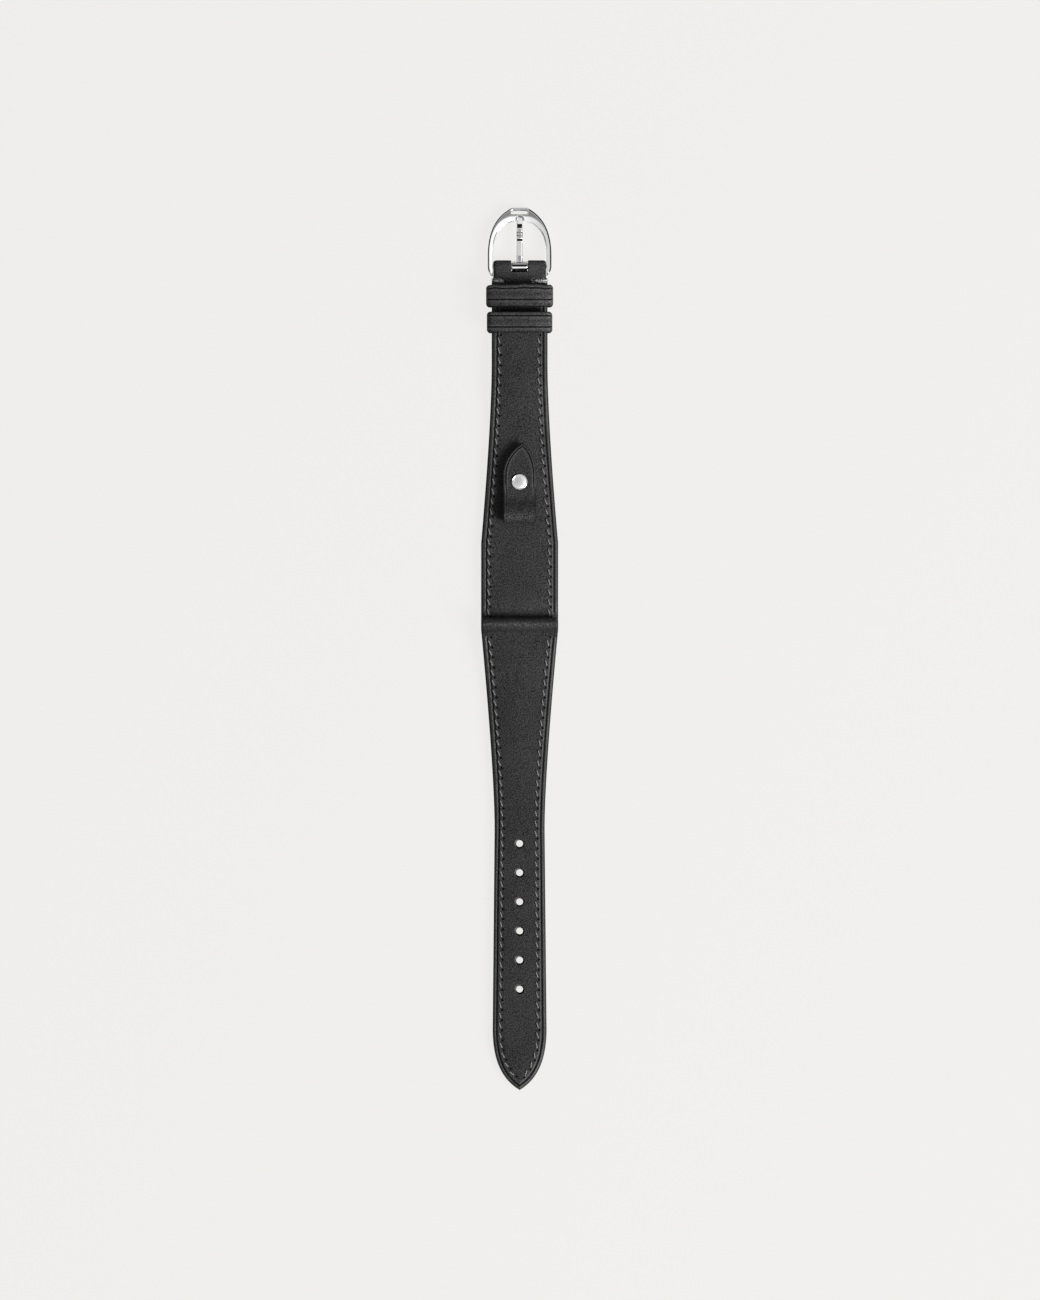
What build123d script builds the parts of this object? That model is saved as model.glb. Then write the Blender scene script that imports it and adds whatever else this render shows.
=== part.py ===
"""One-piece leather watch strap with a stirrup buckle, two keepers, a full-width fold and a snap tab.

Millimetres. +X across the strap, +Y along it towards the buckle, +Z up from the table through its face.
The origin is on the table, in the middle of the whole strap.
"""

import os
from math import asin, atan2, cos, degrees, hypot, radians, sin

from build123d import *

os.makedirs("parts", exist_ok=True)

# Lengths along the strap
tail_length = 121.0
frame_reach = 15.15
head_span = 28.0

# Widths
fold_width = 20.0
buckle_end_width = 14.5
knuckle_width = 13.7
waist_width = 13.0
tip_width = 14.0

# Leather thicknesses
lining_thickness = 0.8
base_core_thickness = 0.8
base_leather_thickness = 1.1
tail_core_thickness = 0.8
tail_leather_thickness = 0.8
tab_leather = 0.8
keeper_leather = 1.0

# The roll round the buckle's bar
bar_radius = 0.8
bar_roll_radius = 1.55
bar_fit = 0.08
bar_glue_length = 2.1
turned_under_length = 10.9
roll_taper_length = 11.5
tongue_slot_width = 4.3
tongue_slot_back = 1.45

# The notches beside the fixed keeper
notch_front = 3.15
notch_width = 1.35
left_notch_reach = 2.9
right_notch_reach = 4.3
notch_bevel = 1.2

# The fold that holds the watch's lower bar
bar_tunnel_radius = 0.95
fold_skive = 0.5
fold_skive_run = 3.8
fold_lap = 4.0
fold_lean = 30.0
fold_ramp = 21.5
fold_ramp_pull = 12.5
fold_valley_pull = 2.5

# Keepers
fixed_keeper_back = 4.85
fixed_keeper_length = 5.8
fixed_keeper_width = 17.4
keeper_gap = 1.3
free_keeper_length = 5.4
free_keeper_width = 17.0
free_keeper_travel = 11.0
keeper_slack = 0.25
keeper_clearance = 0.08
keeper_corner = 1.25
keeper_edge_round = 0.2
rise_run = 15.0
tab_to_rise = 2.57

# Adjustment holes
hole_count = 6
hole_pitch = 7.57
hole_radius = 0.9
last_hole_from_tip = 26.2

# Snap tab
tab_width = 8.5
tab_length = 19.0
tab_point_length = 7.8
tab_root_length = 10.3
tab_root_width = 7.6
tab_root_round = 1.5
tab_gap = 0.1
tab_drop_run = 5.6
snap_from_axis = 8.95
snap_height = 0.85
snap_cap_radius = 2.08
snap_cap_height = 0.42
snap_cap_round = 0.18
snap_rivet_radius = 0.5
snap_socket_radius = 1.8
snap_socket_bore = 1.1
snap_ring_wire = 0.14
snap_stud_flange = 1.55
snap_stud_flange_height = 0.18
snap_knob_radius = 0.78
snap_knob_waist = 0.6
snap_knob_height = 0.5
snap_fit = 0.07
snap_post_flange = 1.5
snap_post_flange_height = 0.25

# Buckle frame
frame_side_gap = 0.15
frame_leg_width = 1.25
frame_thickness = 2.2
frame_top_flat = 4.0
frame_crown = 3.15
frame_leg_back = 2.65
frame_scoop_depth = 0.95
frame_scoop_rim = 0.55
frame_scoop_crown = 1.85
frame_round = 0.28
eye_width = 4.3
eye_height = 1.15
eye_from_front = 0.5
tongue_notch_radius = 1.1
tongue_notch_floor = 1.15

# Buckle tongue
tongue_width = 1.46
tongue_overlap = 0.75
tongue_barrel_radius = 1.3
tongue_barrel_length = 4.0
tongue_tip_height = 0.75
tongue_root_low = 0.45
tongue_root_high = 0.95
tongue_hump_low = 0.2
tongue_hump_high = 1.15
tongue_fit = 0.07
tongue_rest_gap = 0.04

# Spring bar
bar_tube_short = 1.3
bar_tube_wall = 0.2
bar_crimp_length = 0.3
bar_neck_radius = 0.38
bar_head_radius = 0.53
bar_head_length = 0.95
bar_head_inset = 0.35
bar_collar_radius = 0.7
bar_collar_length = 0.15
bar_collar_gap = 0.1
bar_pivot_depth = 0.75
bar_spring_wire = 0.13

# Thread
stitch_pitch = 2.65
stitch_length = 1.9
stitch_slant = 12.0
thread_width = 0.38
thread_height = 0.14
stitch_inset = 2.15
tail_stitch_start = 2.6
base_stitch_start = 3.4

overrun = 30.0

# Outlines, as shares of the sizes that they follow
tip_point_pull_share = (0.78, 0.027)
tip_side_pull_share = 0.076
tip_bulge_share = 0.132
waist_share = 0.558
tail_flare_share = 0.677
tail_shoulder_share = 0.988
base_shoulder_share = 0.227
base_narrowing_share = 0.573
base_straight_share = 0.732
frame_outer_pull_shares = ((1.0, 0.58), (0.765, 0.855))
frame_window_pull_shares = ((1.0, 0.69), (0.7, 1.0))
frame_scoop_pull_shares = ((1.0, 0.69), (0.8, 1.0))
frame_leg_pull_shares = ((0.95, -0.83), (1.0, -0.34))
frame_shoulder_share = 0.17
tab_point_pull_shares = ((0.965, 0.33), (0.64, 0.8))
third_share = 1 / 3

# Heights of the stack, from the table
rise = keeper_leather + keeper_clearance
base_bottom_leather = lining_thickness + base_core_thickness
base_top = base_bottom_leather + base_leather_thickness
tail_core_top = lining_thickness + tail_core_thickness
tail_top = tail_core_top + tail_leather_thickness
bar_z = rise + bar_roll_radius
roll_top = bar_z + bar_roll_radius
fold_radius = bar_tunnel_radius + tail_leather_thickness
fold_seat = base_top - fold_skive
fold_z = fold_seat + fold_radius
keeper_inner_top = rise + base_top + tail_top + keeper_slack

# The frame's widths and reaches, from what turns between its legs
frame_window_width = knuckle_width + 2 * frame_side_gap
frame_width = frame_window_width + 2 * frame_leg_width
frame_window_reach = frame_reach - frame_crown
tongue_reach = frame_window_reach + tongue_overlap
bar_tube_half = frame_window_width / 2 - bar_tube_short

# How far the frame leans so that its front lies on the table
frame_diagonal = hypot(frame_reach, frame_thickness / 2)
frame_lean = asin(bar_z / frame_diagonal) - atan2(frame_thickness / 2, frame_reach)
frame_front = frame_reach * cos(frame_lean) + frame_thickness / 2 * sin(frame_lean)

# The base's length, added up from the fold to the bar
tab_stretch = head_span + tab_length + tab_to_rise
keeper_stretch = fixed_keeper_back + fixed_keeper_length + keeper_gap + free_keeper_length
base_length = tab_stretch + rise_run + keeper_clearance + free_keeper_travel + keeper_stretch

# Places along the strap
tip_y = -(tail_length + base_length + frame_front) / 2
fold_y = tip_y + tail_length
bar_y = fold_y + base_length
lap_y = fold_y - fold_lap
roll_core_y = bar_y - bar_glue_length
turned_under_y = bar_y - turned_under_length
roll_taper_y = bar_y - roll_taper_length
fixed_keeper_front_y = bar_y - fixed_keeper_back
free_keeper_front_y = fixed_keeper_front_y - fixed_keeper_length - keeper_gap
rise_end_y = free_keeper_front_y - free_keeper_length - free_keeper_travel - keeper_clearance
rise_start_y = rise_end_y - rise_run
knuckle_y = bar_y - notch_front
last_hole_y = tip_y + last_hole_from_tip

# The snap tab's levels
tab_ring_radius = bar_tunnel_radius + tab_leather
tab_axis_y = fold_y + head_span
tab_axis_z = base_top + tab_gap + tab_ring_radius
tab_root_top = base_top + tab_leather
tab_flat_under = tab_root_top + snap_height
tab_flat_top = tab_flat_under + tab_leather
tab_tip_y = tab_axis_y + tab_length
snap_y = tab_axis_y + snap_from_axis

frame_plane = Plane(origin=(0, bar_y, bar_z), x_dir=(1, 0, 0), z_dir=(0, sin(frame_lean), cos(frame_lean)))
frame_side = Plane(origin=(0, bar_y, bar_z), x_dir=(0, cos(frame_lean), -sin(frame_lean)), z_dir=(1, 0, 0))


def shared(shares, width, length, start=0):
    """A pull point from its shares of a half width and of a length that begins at start."""
    return (shares[0] * width, start + shares[1] * length)


def side_edges():
    """The strap's right edge from its tip to the buckle end, inside the caller's line block."""
    tip_side = Bezier(
        (0, tip_y),
        shared(tip_point_pull_share, tip_width / 2, tail_length, tip_y),
        (tip_width / 2, tip_y + tip_side_pull_share * tail_length),
        (tip_width / 2, tip_y + tip_bulge_share * tail_length),
    )
    taper = Line(tip_side @ 1, (waist_width / 2, tip_y + waist_share * tail_length))
    flare = Bezier(
        taper @ 1,
        (waist_width / 2, tip_y + tail_flare_share * tail_length),
        (fold_width / 2, tip_y + tail_shoulder_share * tail_length),
    )
    cuff = Line(flare @ 1, (fold_width / 2, fold_y + base_shoulder_share * base_length))
    narrowing = Bezier(
        cuff @ 1,
        (buckle_end_width / 2, fold_y + base_narrowing_share * base_length),
        (buckle_end_width / 2, fold_y + base_straight_share * base_length),
    )
    straight = Line(narrowing @ 1, (buckle_end_width / 2, bar_y + bar_roll_radius))
    return [tip_side, taper, flare, cuff, narrowing, straight]


def strap_plan():
    """The whole strap's outline, seen from above."""
    with BuildSketch() as plan:
        with BuildLine():
            straight = side_edges()[-1]
            Polyline(straight @ 1, (0, bar_y + bar_roll_radius), (0, tip_y))
        make_face()
        mirror(about=Plane.YZ)
    return plan.sketch


def rise_curve(start_z):
    """The smooth step that lifts the base over the keepers' lower legs, at this height in the stack."""
    return Bezier(
        (rise_start_y, start_z),
        (rise_start_y + rise_run * third_share, start_z),
        (rise_end_y - rise_run * third_share, start_z + rise),
        (rise_end_y, start_z + rise),
    )


def tail_ramp(drop):
    """The tail's line from the back of the fold down to its level, this far below its face."""
    lean = radians(fold_lean)
    back = (fold_y - fold_radius * sin(lean), fold_z + fold_radius * cos(lean) - drop)
    valley = (back[0] - fold_valley_pull * cos(lean), back[1] - fold_valley_pull * sin(lean))
    end_y = fold_y - fold_ramp
    return Bezier(back, valley, (fold_y - fold_ramp_pull, tail_top - drop), (end_y, tail_top - drop))


def tail_core_profile():
    """The tail's filler from the side: thick behind the end of the base, thin along the tail."""
    with BuildSketch(Plane.YZ) as profile:
        with BuildLine():
            ramp = tail_ramp(tail_leather_thickness)
            under = (ramp @ 0).X, lining_thickness
            Polyline(ramp @ 1, (tip_y, tail_core_top), (tip_y, lining_thickness), under, ramp @ 0)
        make_face()
        with Locations((lap_y, fold_z)):
            Rectangle(overrun, overrun, align=(Align.MIN, Align.CENTER), mode=Mode.SUBTRACT)
    return profile.sketch


def adjustment_holes():
    """The row of holes that the tongue goes through, cut through the piece being built."""
    spots = [(0, last_hole_y + hole_pitch * number) for number in range(hole_count)]
    with BuildSketch() as holes:
        with Locations(*spots):
            Circle(hole_radius)
    extrude(holes.sketch, amount=overrun, mode=Mode.SUBTRACT)


def trim_to_plan():
    """Cut the piece being built to the strap's outline."""
    extrude(strap_outline, amount=overrun, mode=Mode.INTERSECT)


def trim_knuckles():
    """Narrow the piece being built to the knuckles that turn between the frame's legs."""
    strip = overrun - knuckle_width / 2
    with BuildSketch() as strips:
        for side in (-1, 1):
            with Locations((side * (knuckle_width / 2 + strip / 2), knuckle_y)):
                Rectangle(strip, overrun, align=(Align.CENTER, Align.MIN))
    extrude(strips.sketch, amount=overrun, mode=Mode.SUBTRACT)


strap_outline = strap_plan()
tail_core_side = tail_core_profile()

# Lining: the skin side, whole from the tip to the turned-under end of the face leather
with BuildPart() as lining:
    with BuildSketch(Plane.YZ):
        with BuildLine():
            under = rise_curve(0)
            over = rise_curve(lining_thickness)
            Polyline(under @ 1, (turned_under_y, rise), (turned_under_y, rise + lining_thickness), over @ 1)
            Polyline(under @ 0, (tip_y, 0), (tip_y, lining_thickness), over @ 0)
        make_face()
    extrude(amount=fold_width, both=True)
    trim_to_plan()
    adjustment_holes()
lining.part.label = "lining"
export_step(lining.part, "parts/lining.step")

# Base core: the filler from the end of the base to the bar's roll, with a pocket for the snap post's flange
with BuildPart() as base_core:
    with BuildSketch(Plane.YZ):
        with BuildLine():
            under = rise_curve(lining_thickness)
            over = rise_curve(base_bottom_leather)
            roll_under = roll_top - base_leather_thickness
            roll_slope = (roll_top - rise - base_top) / roll_taper_length
            core_front_z = roll_under - roll_slope * bar_glue_length
            Polyline(under @ 1, (roll_core_y, rise + lining_thickness), (roll_core_y, core_front_z))
            Polyline((roll_core_y, core_front_z), (roll_taper_y, rise + base_bottom_leather), over @ 1)
            Polyline(under @ 0, (lap_y, lining_thickness), (lap_y, base_bottom_leather), over @ 0)
        make_face()
    extrude(amount=fold_width, both=True)
    trim_to_plan()
    trim_knuckles()
    with BuildSketch(Plane.XY.offset(base_bottom_leather - snap_post_flange_height)):
        with Locations((0, snap_y)):
            Circle(snap_post_flange + snap_fit)
    extrude(amount=overrun, mode=Mode.SUBTRACT)
base_core.part.label = "base_core"
export_step(base_core.part, "parts/base_core.step")

# Base face leather: skived under the fold, rolled round the bar and turned under
with BuildPart() as base_top_leather:
    with BuildSketch(Plane.YZ):
        with BuildLine():
            under = rise_curve(base_bottom_leather)
            over = rise_curve(base_top)
            Polyline(
                under @ 0,
                (lap_y, base_bottom_leather),
                (lap_y, fold_seat),
                (fold_y + fold_radius, fold_seat),
                (fold_y + fold_radius + fold_skive_run, base_top),
                over @ 0,
            )
            Polyline(over @ 1, (roll_taper_y, rise + base_top), (bar_y, roll_top))
            RadiusArc((bar_y, roll_top), (bar_y, rise), bar_roll_radius)
            Polyline(
                (bar_y, rise),
                (turned_under_y, rise),
                (turned_under_y, rise + lining_thickness),
                (roll_core_y, rise + lining_thickness),
                (roll_core_y, core_front_z),
                (roll_taper_y, rise + base_bottom_leather),
                under @ 1,
            )
        make_face()
        with Locations((bar_y, bar_z)):
            Circle(bar_radius + bar_fit, mode=Mode.SUBTRACT)
    extrude(amount=fold_width, both=True)
    trim_to_plan()
    trim_knuckles()
    with BuildSketch():
        with Locations((0, bar_y - tongue_slot_back)):
            Rectangle(tongue_slot_width, overrun, align=(Align.CENTER, Align.MIN))
    extrude(amount=overrun, mode=Mode.SUBTRACT)
    with BuildSketch(Plane.XY.offset(rise + lining_thickness)):
        with BuildLine():
            edge = -buckle_end_width
            inner = left_notch_reach - buckle_end_width / 2
            Polyline(
                (edge, knuckle_y),
                (edge, knuckle_y - notch_width),
                (inner + notch_bevel, knuckle_y - notch_width),
                (inner, knuckle_y),
                close=True,
            )
        make_face()
        with Locations((buckle_end_width / 2 - right_notch_reach, knuckle_y - notch_width / 2)):
            SlotOverall(buckle_end_width, notch_width, align=(Align.MIN, Align.CENTER))
    extrude(amount=overrun, mode=Mode.SUBTRACT)
    with BuildSketch():
        with Locations((0, snap_y)):
            Circle(snap_rivet_radius + snap_fit)
    extrude(amount=overrun, mode=Mode.SUBTRACT)
base_top_leather.part.label = "base_top_leather"
export_step(base_top_leather.part, "parts/base_top_leather.step")

# Tail core: the filler of the tail
with BuildPart() as tail_core:
    extrude(tail_core_side, amount=fold_width, both=True)
    trim_to_plan()
    adjustment_holes()
tail_core.part.label = "tail_core"
export_step(tail_core.part, "parts/tail_core.step")

# Tail face leather: rolled into the tunnel for the watch's lower bar, and turned under on the base
with BuildPart() as tail_top_leather:
    with BuildSketch(Plane.YZ):
        with BuildLine():
            ramp = tail_ramp(0)
            front = (fold_y + fold_radius, fold_z)
            ThreePointArc(ramp @ 0, front, (fold_y, fold_seat))
            Polyline(
                (fold_y, fold_seat),
                (lap_y, fold_seat),
                (lap_y, lining_thickness),
                (tip_y, lining_thickness),
                (tip_y, tail_top),
                ramp @ 1,
            )
        make_face()
        with Locations((fold_y, fold_z)):
            Circle(bar_tunnel_radius, mode=Mode.SUBTRACT)
    extrude(amount=fold_width, both=True)
    extrude(tail_core_side, amount=fold_width, both=True, mode=Mode.SUBTRACT)
    trim_to_plan()
    adjustment_holes()
tail_top_leather.part.label = "tail_top_leather"
export_step(tail_top_leather.part, "parts/tail_top_leather.step")


def keeper_loop(front_y, length, width, low_z):
    """A closed leather band round the strap, its long corners rounded and its edges broken."""
    height = keeper_inner_top + keeper_leather - low_z
    with BuildPart() as loop:
        with BuildSketch(Plane.XZ.offset(-front_y)):
            with Locations((0, low_z + height / 2)):
                RectangleRounded(width, height, keeper_corner)
        extrude(amount=length)
        fillet(loop.faces().filter_by(Axis.Y).edges(), keeper_edge_round)
        with BuildSketch(Plane.XZ.offset(-front_y)):
            with Locations((0, low_z + height / 2)):
                RectangleRounded(
                    width - 2 * keeper_leather,
                    height - 2 * keeper_leather,
                    keeper_corner - keeper_leather,
                )
        extrude(amount=length, mode=Mode.SUBTRACT)
    return loop.part


# Keepers: one glued under the base beside the buckle, one free to slide
fixed_keeper = keeper_loop(fixed_keeper_front_y, fixed_keeper_length, fixed_keeper_width, keeper_clearance)
fixed_keeper.label = "fixed_keeper"
export_step(fixed_keeper, "parts/fixed_keeper.step")

free_keeper = keeper_loop(free_keeper_front_y, free_keeper_length, free_keeper_width, 0)
free_keeper.label = "free_keeper"
export_step(free_keeper, "parts/free_keeper.step")


def arch(width, pulls, top, height):
    """An arch outline open at the back, in the frame's own plane at this height."""
    side = (width / 2, frame_shoulder_share * frame_reach)
    back = (width / 2, -overrun)
    with BuildSketch(frame_plane.offset(height)) as outline:
        with BuildLine():
            Line(back, side)
            Bezier(side, shared(pulls[0], width / 2, top), shared(pulls[1], width / 2, top), (0, top))
            Polyline((0, top), (0, -overrun), back)
        make_face()
        mirror(about=Plane.YZ)
    return outline.sketch


window = arch(frame_window_width, frame_window_pull_shares, frame_window_reach, -frame_thickness / 2)
scoop_level = frame_thickness / 2 - frame_scoop_depth
scoop_floor = arch(frame_window_width, frame_window_pull_shares, frame_window_reach, scoop_level)
scoop_width = frame_width - 2 * frame_scoop_rim
scoop_reach = frame_reach - frame_scoop_crown
scoop_rim = arch(scoop_width, frame_scoop_pull_shares, scoop_reach, frame_thickness / 2)

# Buckle frame: an arch on two legs, hollowed towards its window, with an eye slot and a rest for the tongue
with BuildPart() as buckle_frame:
    shoulder = frame_shoulder_share * frame_reach
    with BuildSketch(frame_plane.offset(-frame_thickness / 2)):
        with BuildLine():
            outer = Bezier(
                (frame_width / 2, shoulder),
                shared(frame_outer_pull_shares[0], frame_width / 2, frame_reach),
                shared(frame_outer_pull_shares[1], frame_width / 2, frame_reach),
                (frame_top_flat / 2, frame_reach),
            )
            leg = Bezier(
                (frame_window_width / 2, -frame_leg_back),
                shared(frame_leg_pull_shares[0], frame_width / 2, frame_leg_back),
                shared(frame_leg_pull_shares[1], frame_width / 2, frame_leg_back),
                (frame_width / 2, 0),
            )
            Line(leg @ 1, outer @ 0)
            Polyline(outer @ 1, (0, frame_reach), (0, -frame_leg_back), leg @ 0)
        make_face()
        mirror(about=Plane.YZ)
    extrude(amount=frame_thickness)
    caps = buckle_frame.faces().filter_by(Axis((0, bar_y, bar_z), frame_plane.z_dir))
    fillet(caps.edges(), frame_round)
    extrude(window, amount=frame_thickness, mode=Mode.SUBTRACT)
    loft([scoop_floor, scoop_rim], ruled=True, mode=Mode.SUBTRACT)
    eye_y = frame_reach - eye_from_front - eye_height / 2
    with BuildSketch(frame_plane.offset(-frame_thickness)):
        with Locations((0, eye_y)):
            SlotOverall(eye_width, eye_height)
    extrude(amount=2 * frame_thickness, mode=Mode.SUBTRACT)
    with BuildSketch(frame_plane.offset(frame_thickness / 2 - tongue_notch_floor)):
        with Locations((0, frame_window_reach)):
            Circle(tongue_notch_radius)
    extrude(amount=frame_thickness, mode=Mode.SUBTRACT)
    with BuildSketch(frame_side):
        Circle(bar_neck_radius + bar_fit)
    extrude(amount=frame_window_width / 2 + bar_pivot_depth + bar_fit, both=True, mode=Mode.SUBTRACT)
buckle_frame.part.label = "buckle_frame"
export_step(buckle_frame.part, "parts/buckle_frame.step")

# Buckle tongue: a barrel on the bar, and a humped prong whose tip lies in the frame's rest
with BuildPart() as buckle_tongue:
    notch_z = frame_thickness / 2 - tongue_notch_floor
    tip_low = notch_z + tongue_rest_gap
    with BuildSketch(frame_side):
        Circle(tongue_barrel_radius)
    extrude(amount=tongue_barrel_length / 2, both=True)
    with BuildSketch(frame_side):
        with BuildLine():
            root = (bar_radius, -tongue_root_low)
            middle = tongue_reach / 2
            nose_start = tongue_reach - tongue_tip_height / 2
            low = ThreePointArc(root, (middle, tongue_hump_low), (nose_start, tip_low))
            tip_top = (nose_start, tip_low + tongue_tip_height)
            nose = ThreePointArc(low @ 1, (tongue_reach, tip_low + tongue_tip_height / 2), tip_top)
            top = ThreePointArc(nose @ 1, (middle, tongue_hump_high), (bar_radius, tongue_root_high))
            Line(top @ 1, root)
        make_face()
    extrude(amount=tongue_width / 2, both=True)
    with BuildSketch(frame_side):
        Circle(bar_radius + tongue_fit)
    extrude(amount=overrun, both=True, mode=Mode.SUBTRACT)
buckle_tongue.part.label = "buckle_tongue"
export_step(buckle_tongue.part, "parts/buckle_tongue.step")

# Spring bar: a tube crimped at both ends, a tip at each end and the spring that pushes them apart
with BuildPart() as spring_bar_tube:
    with BuildSketch(frame_side):
        Circle(bar_radius)
        Circle(bar_neck_radius + bar_fit, mode=Mode.SUBTRACT)
    extrude(amount=bar_tube_half, both=True)
    with BuildSketch(frame_side):
        Circle(bar_radius - bar_tube_wall)
    extrude(amount=bar_tube_half - bar_crimp_length, both=True, mode=Mode.SUBTRACT)
spring_bar_tube.part.label = "spring_bar_tube"
export_step(spring_bar_tube.part, "parts/spring_bar_tube.step")

head_end = bar_tube_half - bar_crimp_length - bar_head_inset
head_start = head_end - bar_head_length
collar_end = frame_window_width / 2 - bar_collar_gap
pivot_end = frame_window_width / 2 + bar_pivot_depth
for side, place in ((-1, "left"), (1, "right")):
    with BuildPart() as spring_bar_tip:
        for radius, start, end in (
            (bar_head_radius, head_start, head_end),
            (bar_neck_radius, head_start, pivot_end),
            (bar_collar_radius, collar_end - bar_collar_length, collar_end),
        ):
            low, high = sorted((side * start, side * end))
            with BuildSketch(frame_side.offset(low)):
                Circle(radius)
            extrude(amount=high - low)
    spring_bar_tip.part.label = f"spring_bar_tip_{place}"
    export_step(spring_bar_tip.part, f"parts/spring_bar_tip_{place}.step")

with BuildPart() as spring_bar_spring:
    with BuildSketch(frame_side):
        Circle(bar_head_radius)
        Circle(bar_head_radius - bar_spring_wire, mode=Mode.SUBTRACT)
    extrude(amount=head_start, both=True)
spring_bar_spring.part.label = "spring_bar_spring"
export_step(spring_bar_spring.part, "parts/spring_bar_spring.step")


def tab_plan():
    """The tab's outline from above: straight sides and a pointed arch at the tip."""
    half = tab_width / 2
    point_start = tab_tip_y - tab_point_length
    with BuildSketch() as plan:
        with BuildLine():
            Line((half, tab_axis_y - overrun), (half, point_start))
            Bezier(
                (half, point_start),
                shared(tab_point_pull_shares[0], half, tab_point_length, point_start),
                shared(tab_point_pull_shares[1], half, tab_point_length, point_start),
                (0, tab_tip_y),
            )
            Polyline((0, tab_tip_y), (0, tab_axis_y - overrun), (half, tab_axis_y - overrun))
        make_face()
        mirror(about=Plane.YZ)
    return plan.sketch


def tab_drop(start_z, end_z):
    """The smooth step by which the flap comes down from its loop to the snap."""
    return Bezier(
        (tab_axis_y, start_z),
        (tab_axis_y + tab_drop_run * third_share, start_z),
        (tab_axis_y + tab_drop_run * (1 - third_share), end_z),
        (tab_axis_y + tab_drop_run, end_z),
    )


tab_outline = tab_plan()

# Tab flap: a loop for the watch's upper bar, and the leaf that snaps down over the root
with BuildPart() as tab_flap:
    with BuildSketch(Plane.YZ):
        with BuildLine():
            over = tab_drop(tab_axis_z + tab_ring_radius, tab_flat_top)
            under = tab_drop(tab_axis_z + bar_tunnel_radius, tab_flat_under)
            Polyline(over @ 1, (tab_tip_y, tab_flat_top), (tab_tip_y, tab_flat_under), under @ 1)
            Line(over @ 0, under @ 0)
        make_face()
        with Locations((tab_axis_y, tab_axis_z)):
            Circle(tab_ring_radius)
            Circle(bar_tunnel_radius, mode=Mode.SUBTRACT)
    extrude(amount=tab_width, both=True)
    extrude(tab_outline, amount=overrun, mode=Mode.INTERSECT)
    with BuildSketch():
        with Locations((0, snap_y)):
            Circle(snap_rivet_radius)
    extrude(amount=overrun, mode=Mode.SUBTRACT)
tab_flap.part.label = "tab_flap"
export_step(tab_flap.part, "parts/tab_flap.step")

# Tab root: the lower leaf, fixed on the base's face leather
with BuildPart() as tab_root:
    root_start = tab_axis_y + tab_ring_radius + tab_gap
    with BuildSketch(Plane.XY.offset(base_top)):
        with Locations((0, root_start)):
            Rectangle(tab_root_width, tab_root_length, align=(Align.CENTER, Align.MIN))
    extrude(amount=tab_leather)
    fillet(tab_root.edges().filter_by(Axis.Z).group_by(Axis.Y)[-1], tab_root_round)
    with BuildSketch():
        with Locations((0, snap_y)):
            Circle(snap_rivet_radius + snap_fit)
    extrude(amount=overrun, mode=Mode.SUBTRACT)
tab_root.part.label = "tab_root"
export_step(tab_root.part, "parts/tab_root.step")

# Snap cap: the bright domed disc on the flap, with the rivet that holds the socket below it
with BuildPart() as snap_cap:
    with BuildSketch(Plane.XY.offset(tab_flat_top)):
        with Locations((0, snap_y)):
            Circle(snap_cap_radius)
    extrude(amount=snap_cap_height)
    fillet(snap_cap.edges().group_by(Axis.Z)[-1], snap_cap_round)
    with BuildSketch(Plane.XY.offset(tab_flat_under)):
        with Locations((0, snap_y)):
            Circle(snap_rivet_radius)
    extrude(amount=tab_leather)
snap_cap.part.label = "snap_cap"
export_step(snap_cap.part, "parts/snap_cap.step")

# Snap socket: a cup under the flap, open downwards, with a groove for its split ring
socket_low = tab_root_top + snap_stud_flange_height + snap_fit
with BuildPart() as snap_socket:
    with BuildSketch(Plane.XY.offset(socket_low)):
        with Locations((0, snap_y)):
            Circle(snap_socket_radius)
    extrude(amount=tab_flat_under - socket_low)
    with BuildSketch(Plane.XY.offset(socket_low)):
        with Locations((0, snap_y)):
            Circle(snap_socket_bore)
    extrude(amount=snap_knob_height + snap_fit, mode=Mode.SUBTRACT)
snap_socket.part.label = "snap_socket"
export_step(snap_socket.part, "parts/snap_socket.step")

# Snap ring spring: the split ring that grips the stud's waist
with BuildPart() as snap_ring_spring:
    with BuildSketch(Plane.XY.offset(socket_low + snap_fit)):
        with Locations((0, snap_y)):
            Circle(snap_socket_bore)
            Circle(snap_socket_bore - snap_ring_wire, mode=Mode.SUBTRACT)
        with Locations((0, snap_y + snap_socket_bore)):
            Rectangle(snap_ring_wire, snap_socket_bore, mode=Mode.SUBTRACT)
    extrude(amount=snap_ring_wire)
snap_ring_spring.part.label = "snap_ring_spring"
export_step(snap_ring_spring.part, "parts/snap_ring_spring.step")

# Snap stud: a flange on the root, with a waisted knob
with BuildPart() as snap_stud:
    knob_low = tab_root_top + snap_stud_flange_height
    for radius, low, height in (
        (snap_stud_flange, tab_root_top, snap_stud_flange_height),
        (snap_knob_waist, knob_low, snap_knob_height),
        (snap_knob_radius, knob_low + snap_knob_height / 2, snap_knob_height / 2),
    ):
        with BuildSketch(Plane.XY.offset(low)):
            with Locations((0, snap_y)):
                Circle(radius)
        extrude(amount=height)
snap_stud.part.label = "snap_stud"
export_step(snap_stud.part, "parts/snap_stud.step")

# Snap post: the rivet that holds the stud, its flange in the core's pocket
with BuildPart() as snap_post:
    with BuildSketch(Plane.XY.offset(base_bottom_leather - snap_post_flange_height)):
        with Locations((0, snap_y)):
            Circle(snap_post_flange)
    extrude(amount=snap_post_flange_height)
    with BuildSketch(Plane.XY.offset(base_bottom_leather)):
        with Locations((0, snap_y)):
            Circle(snap_rivet_radius)
    extrude(amount=tab_root_top - base_bottom_leather)
snap_post.part.label = "snap_post"
export_step(snap_post.part, "parts/snap_post.step")


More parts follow.
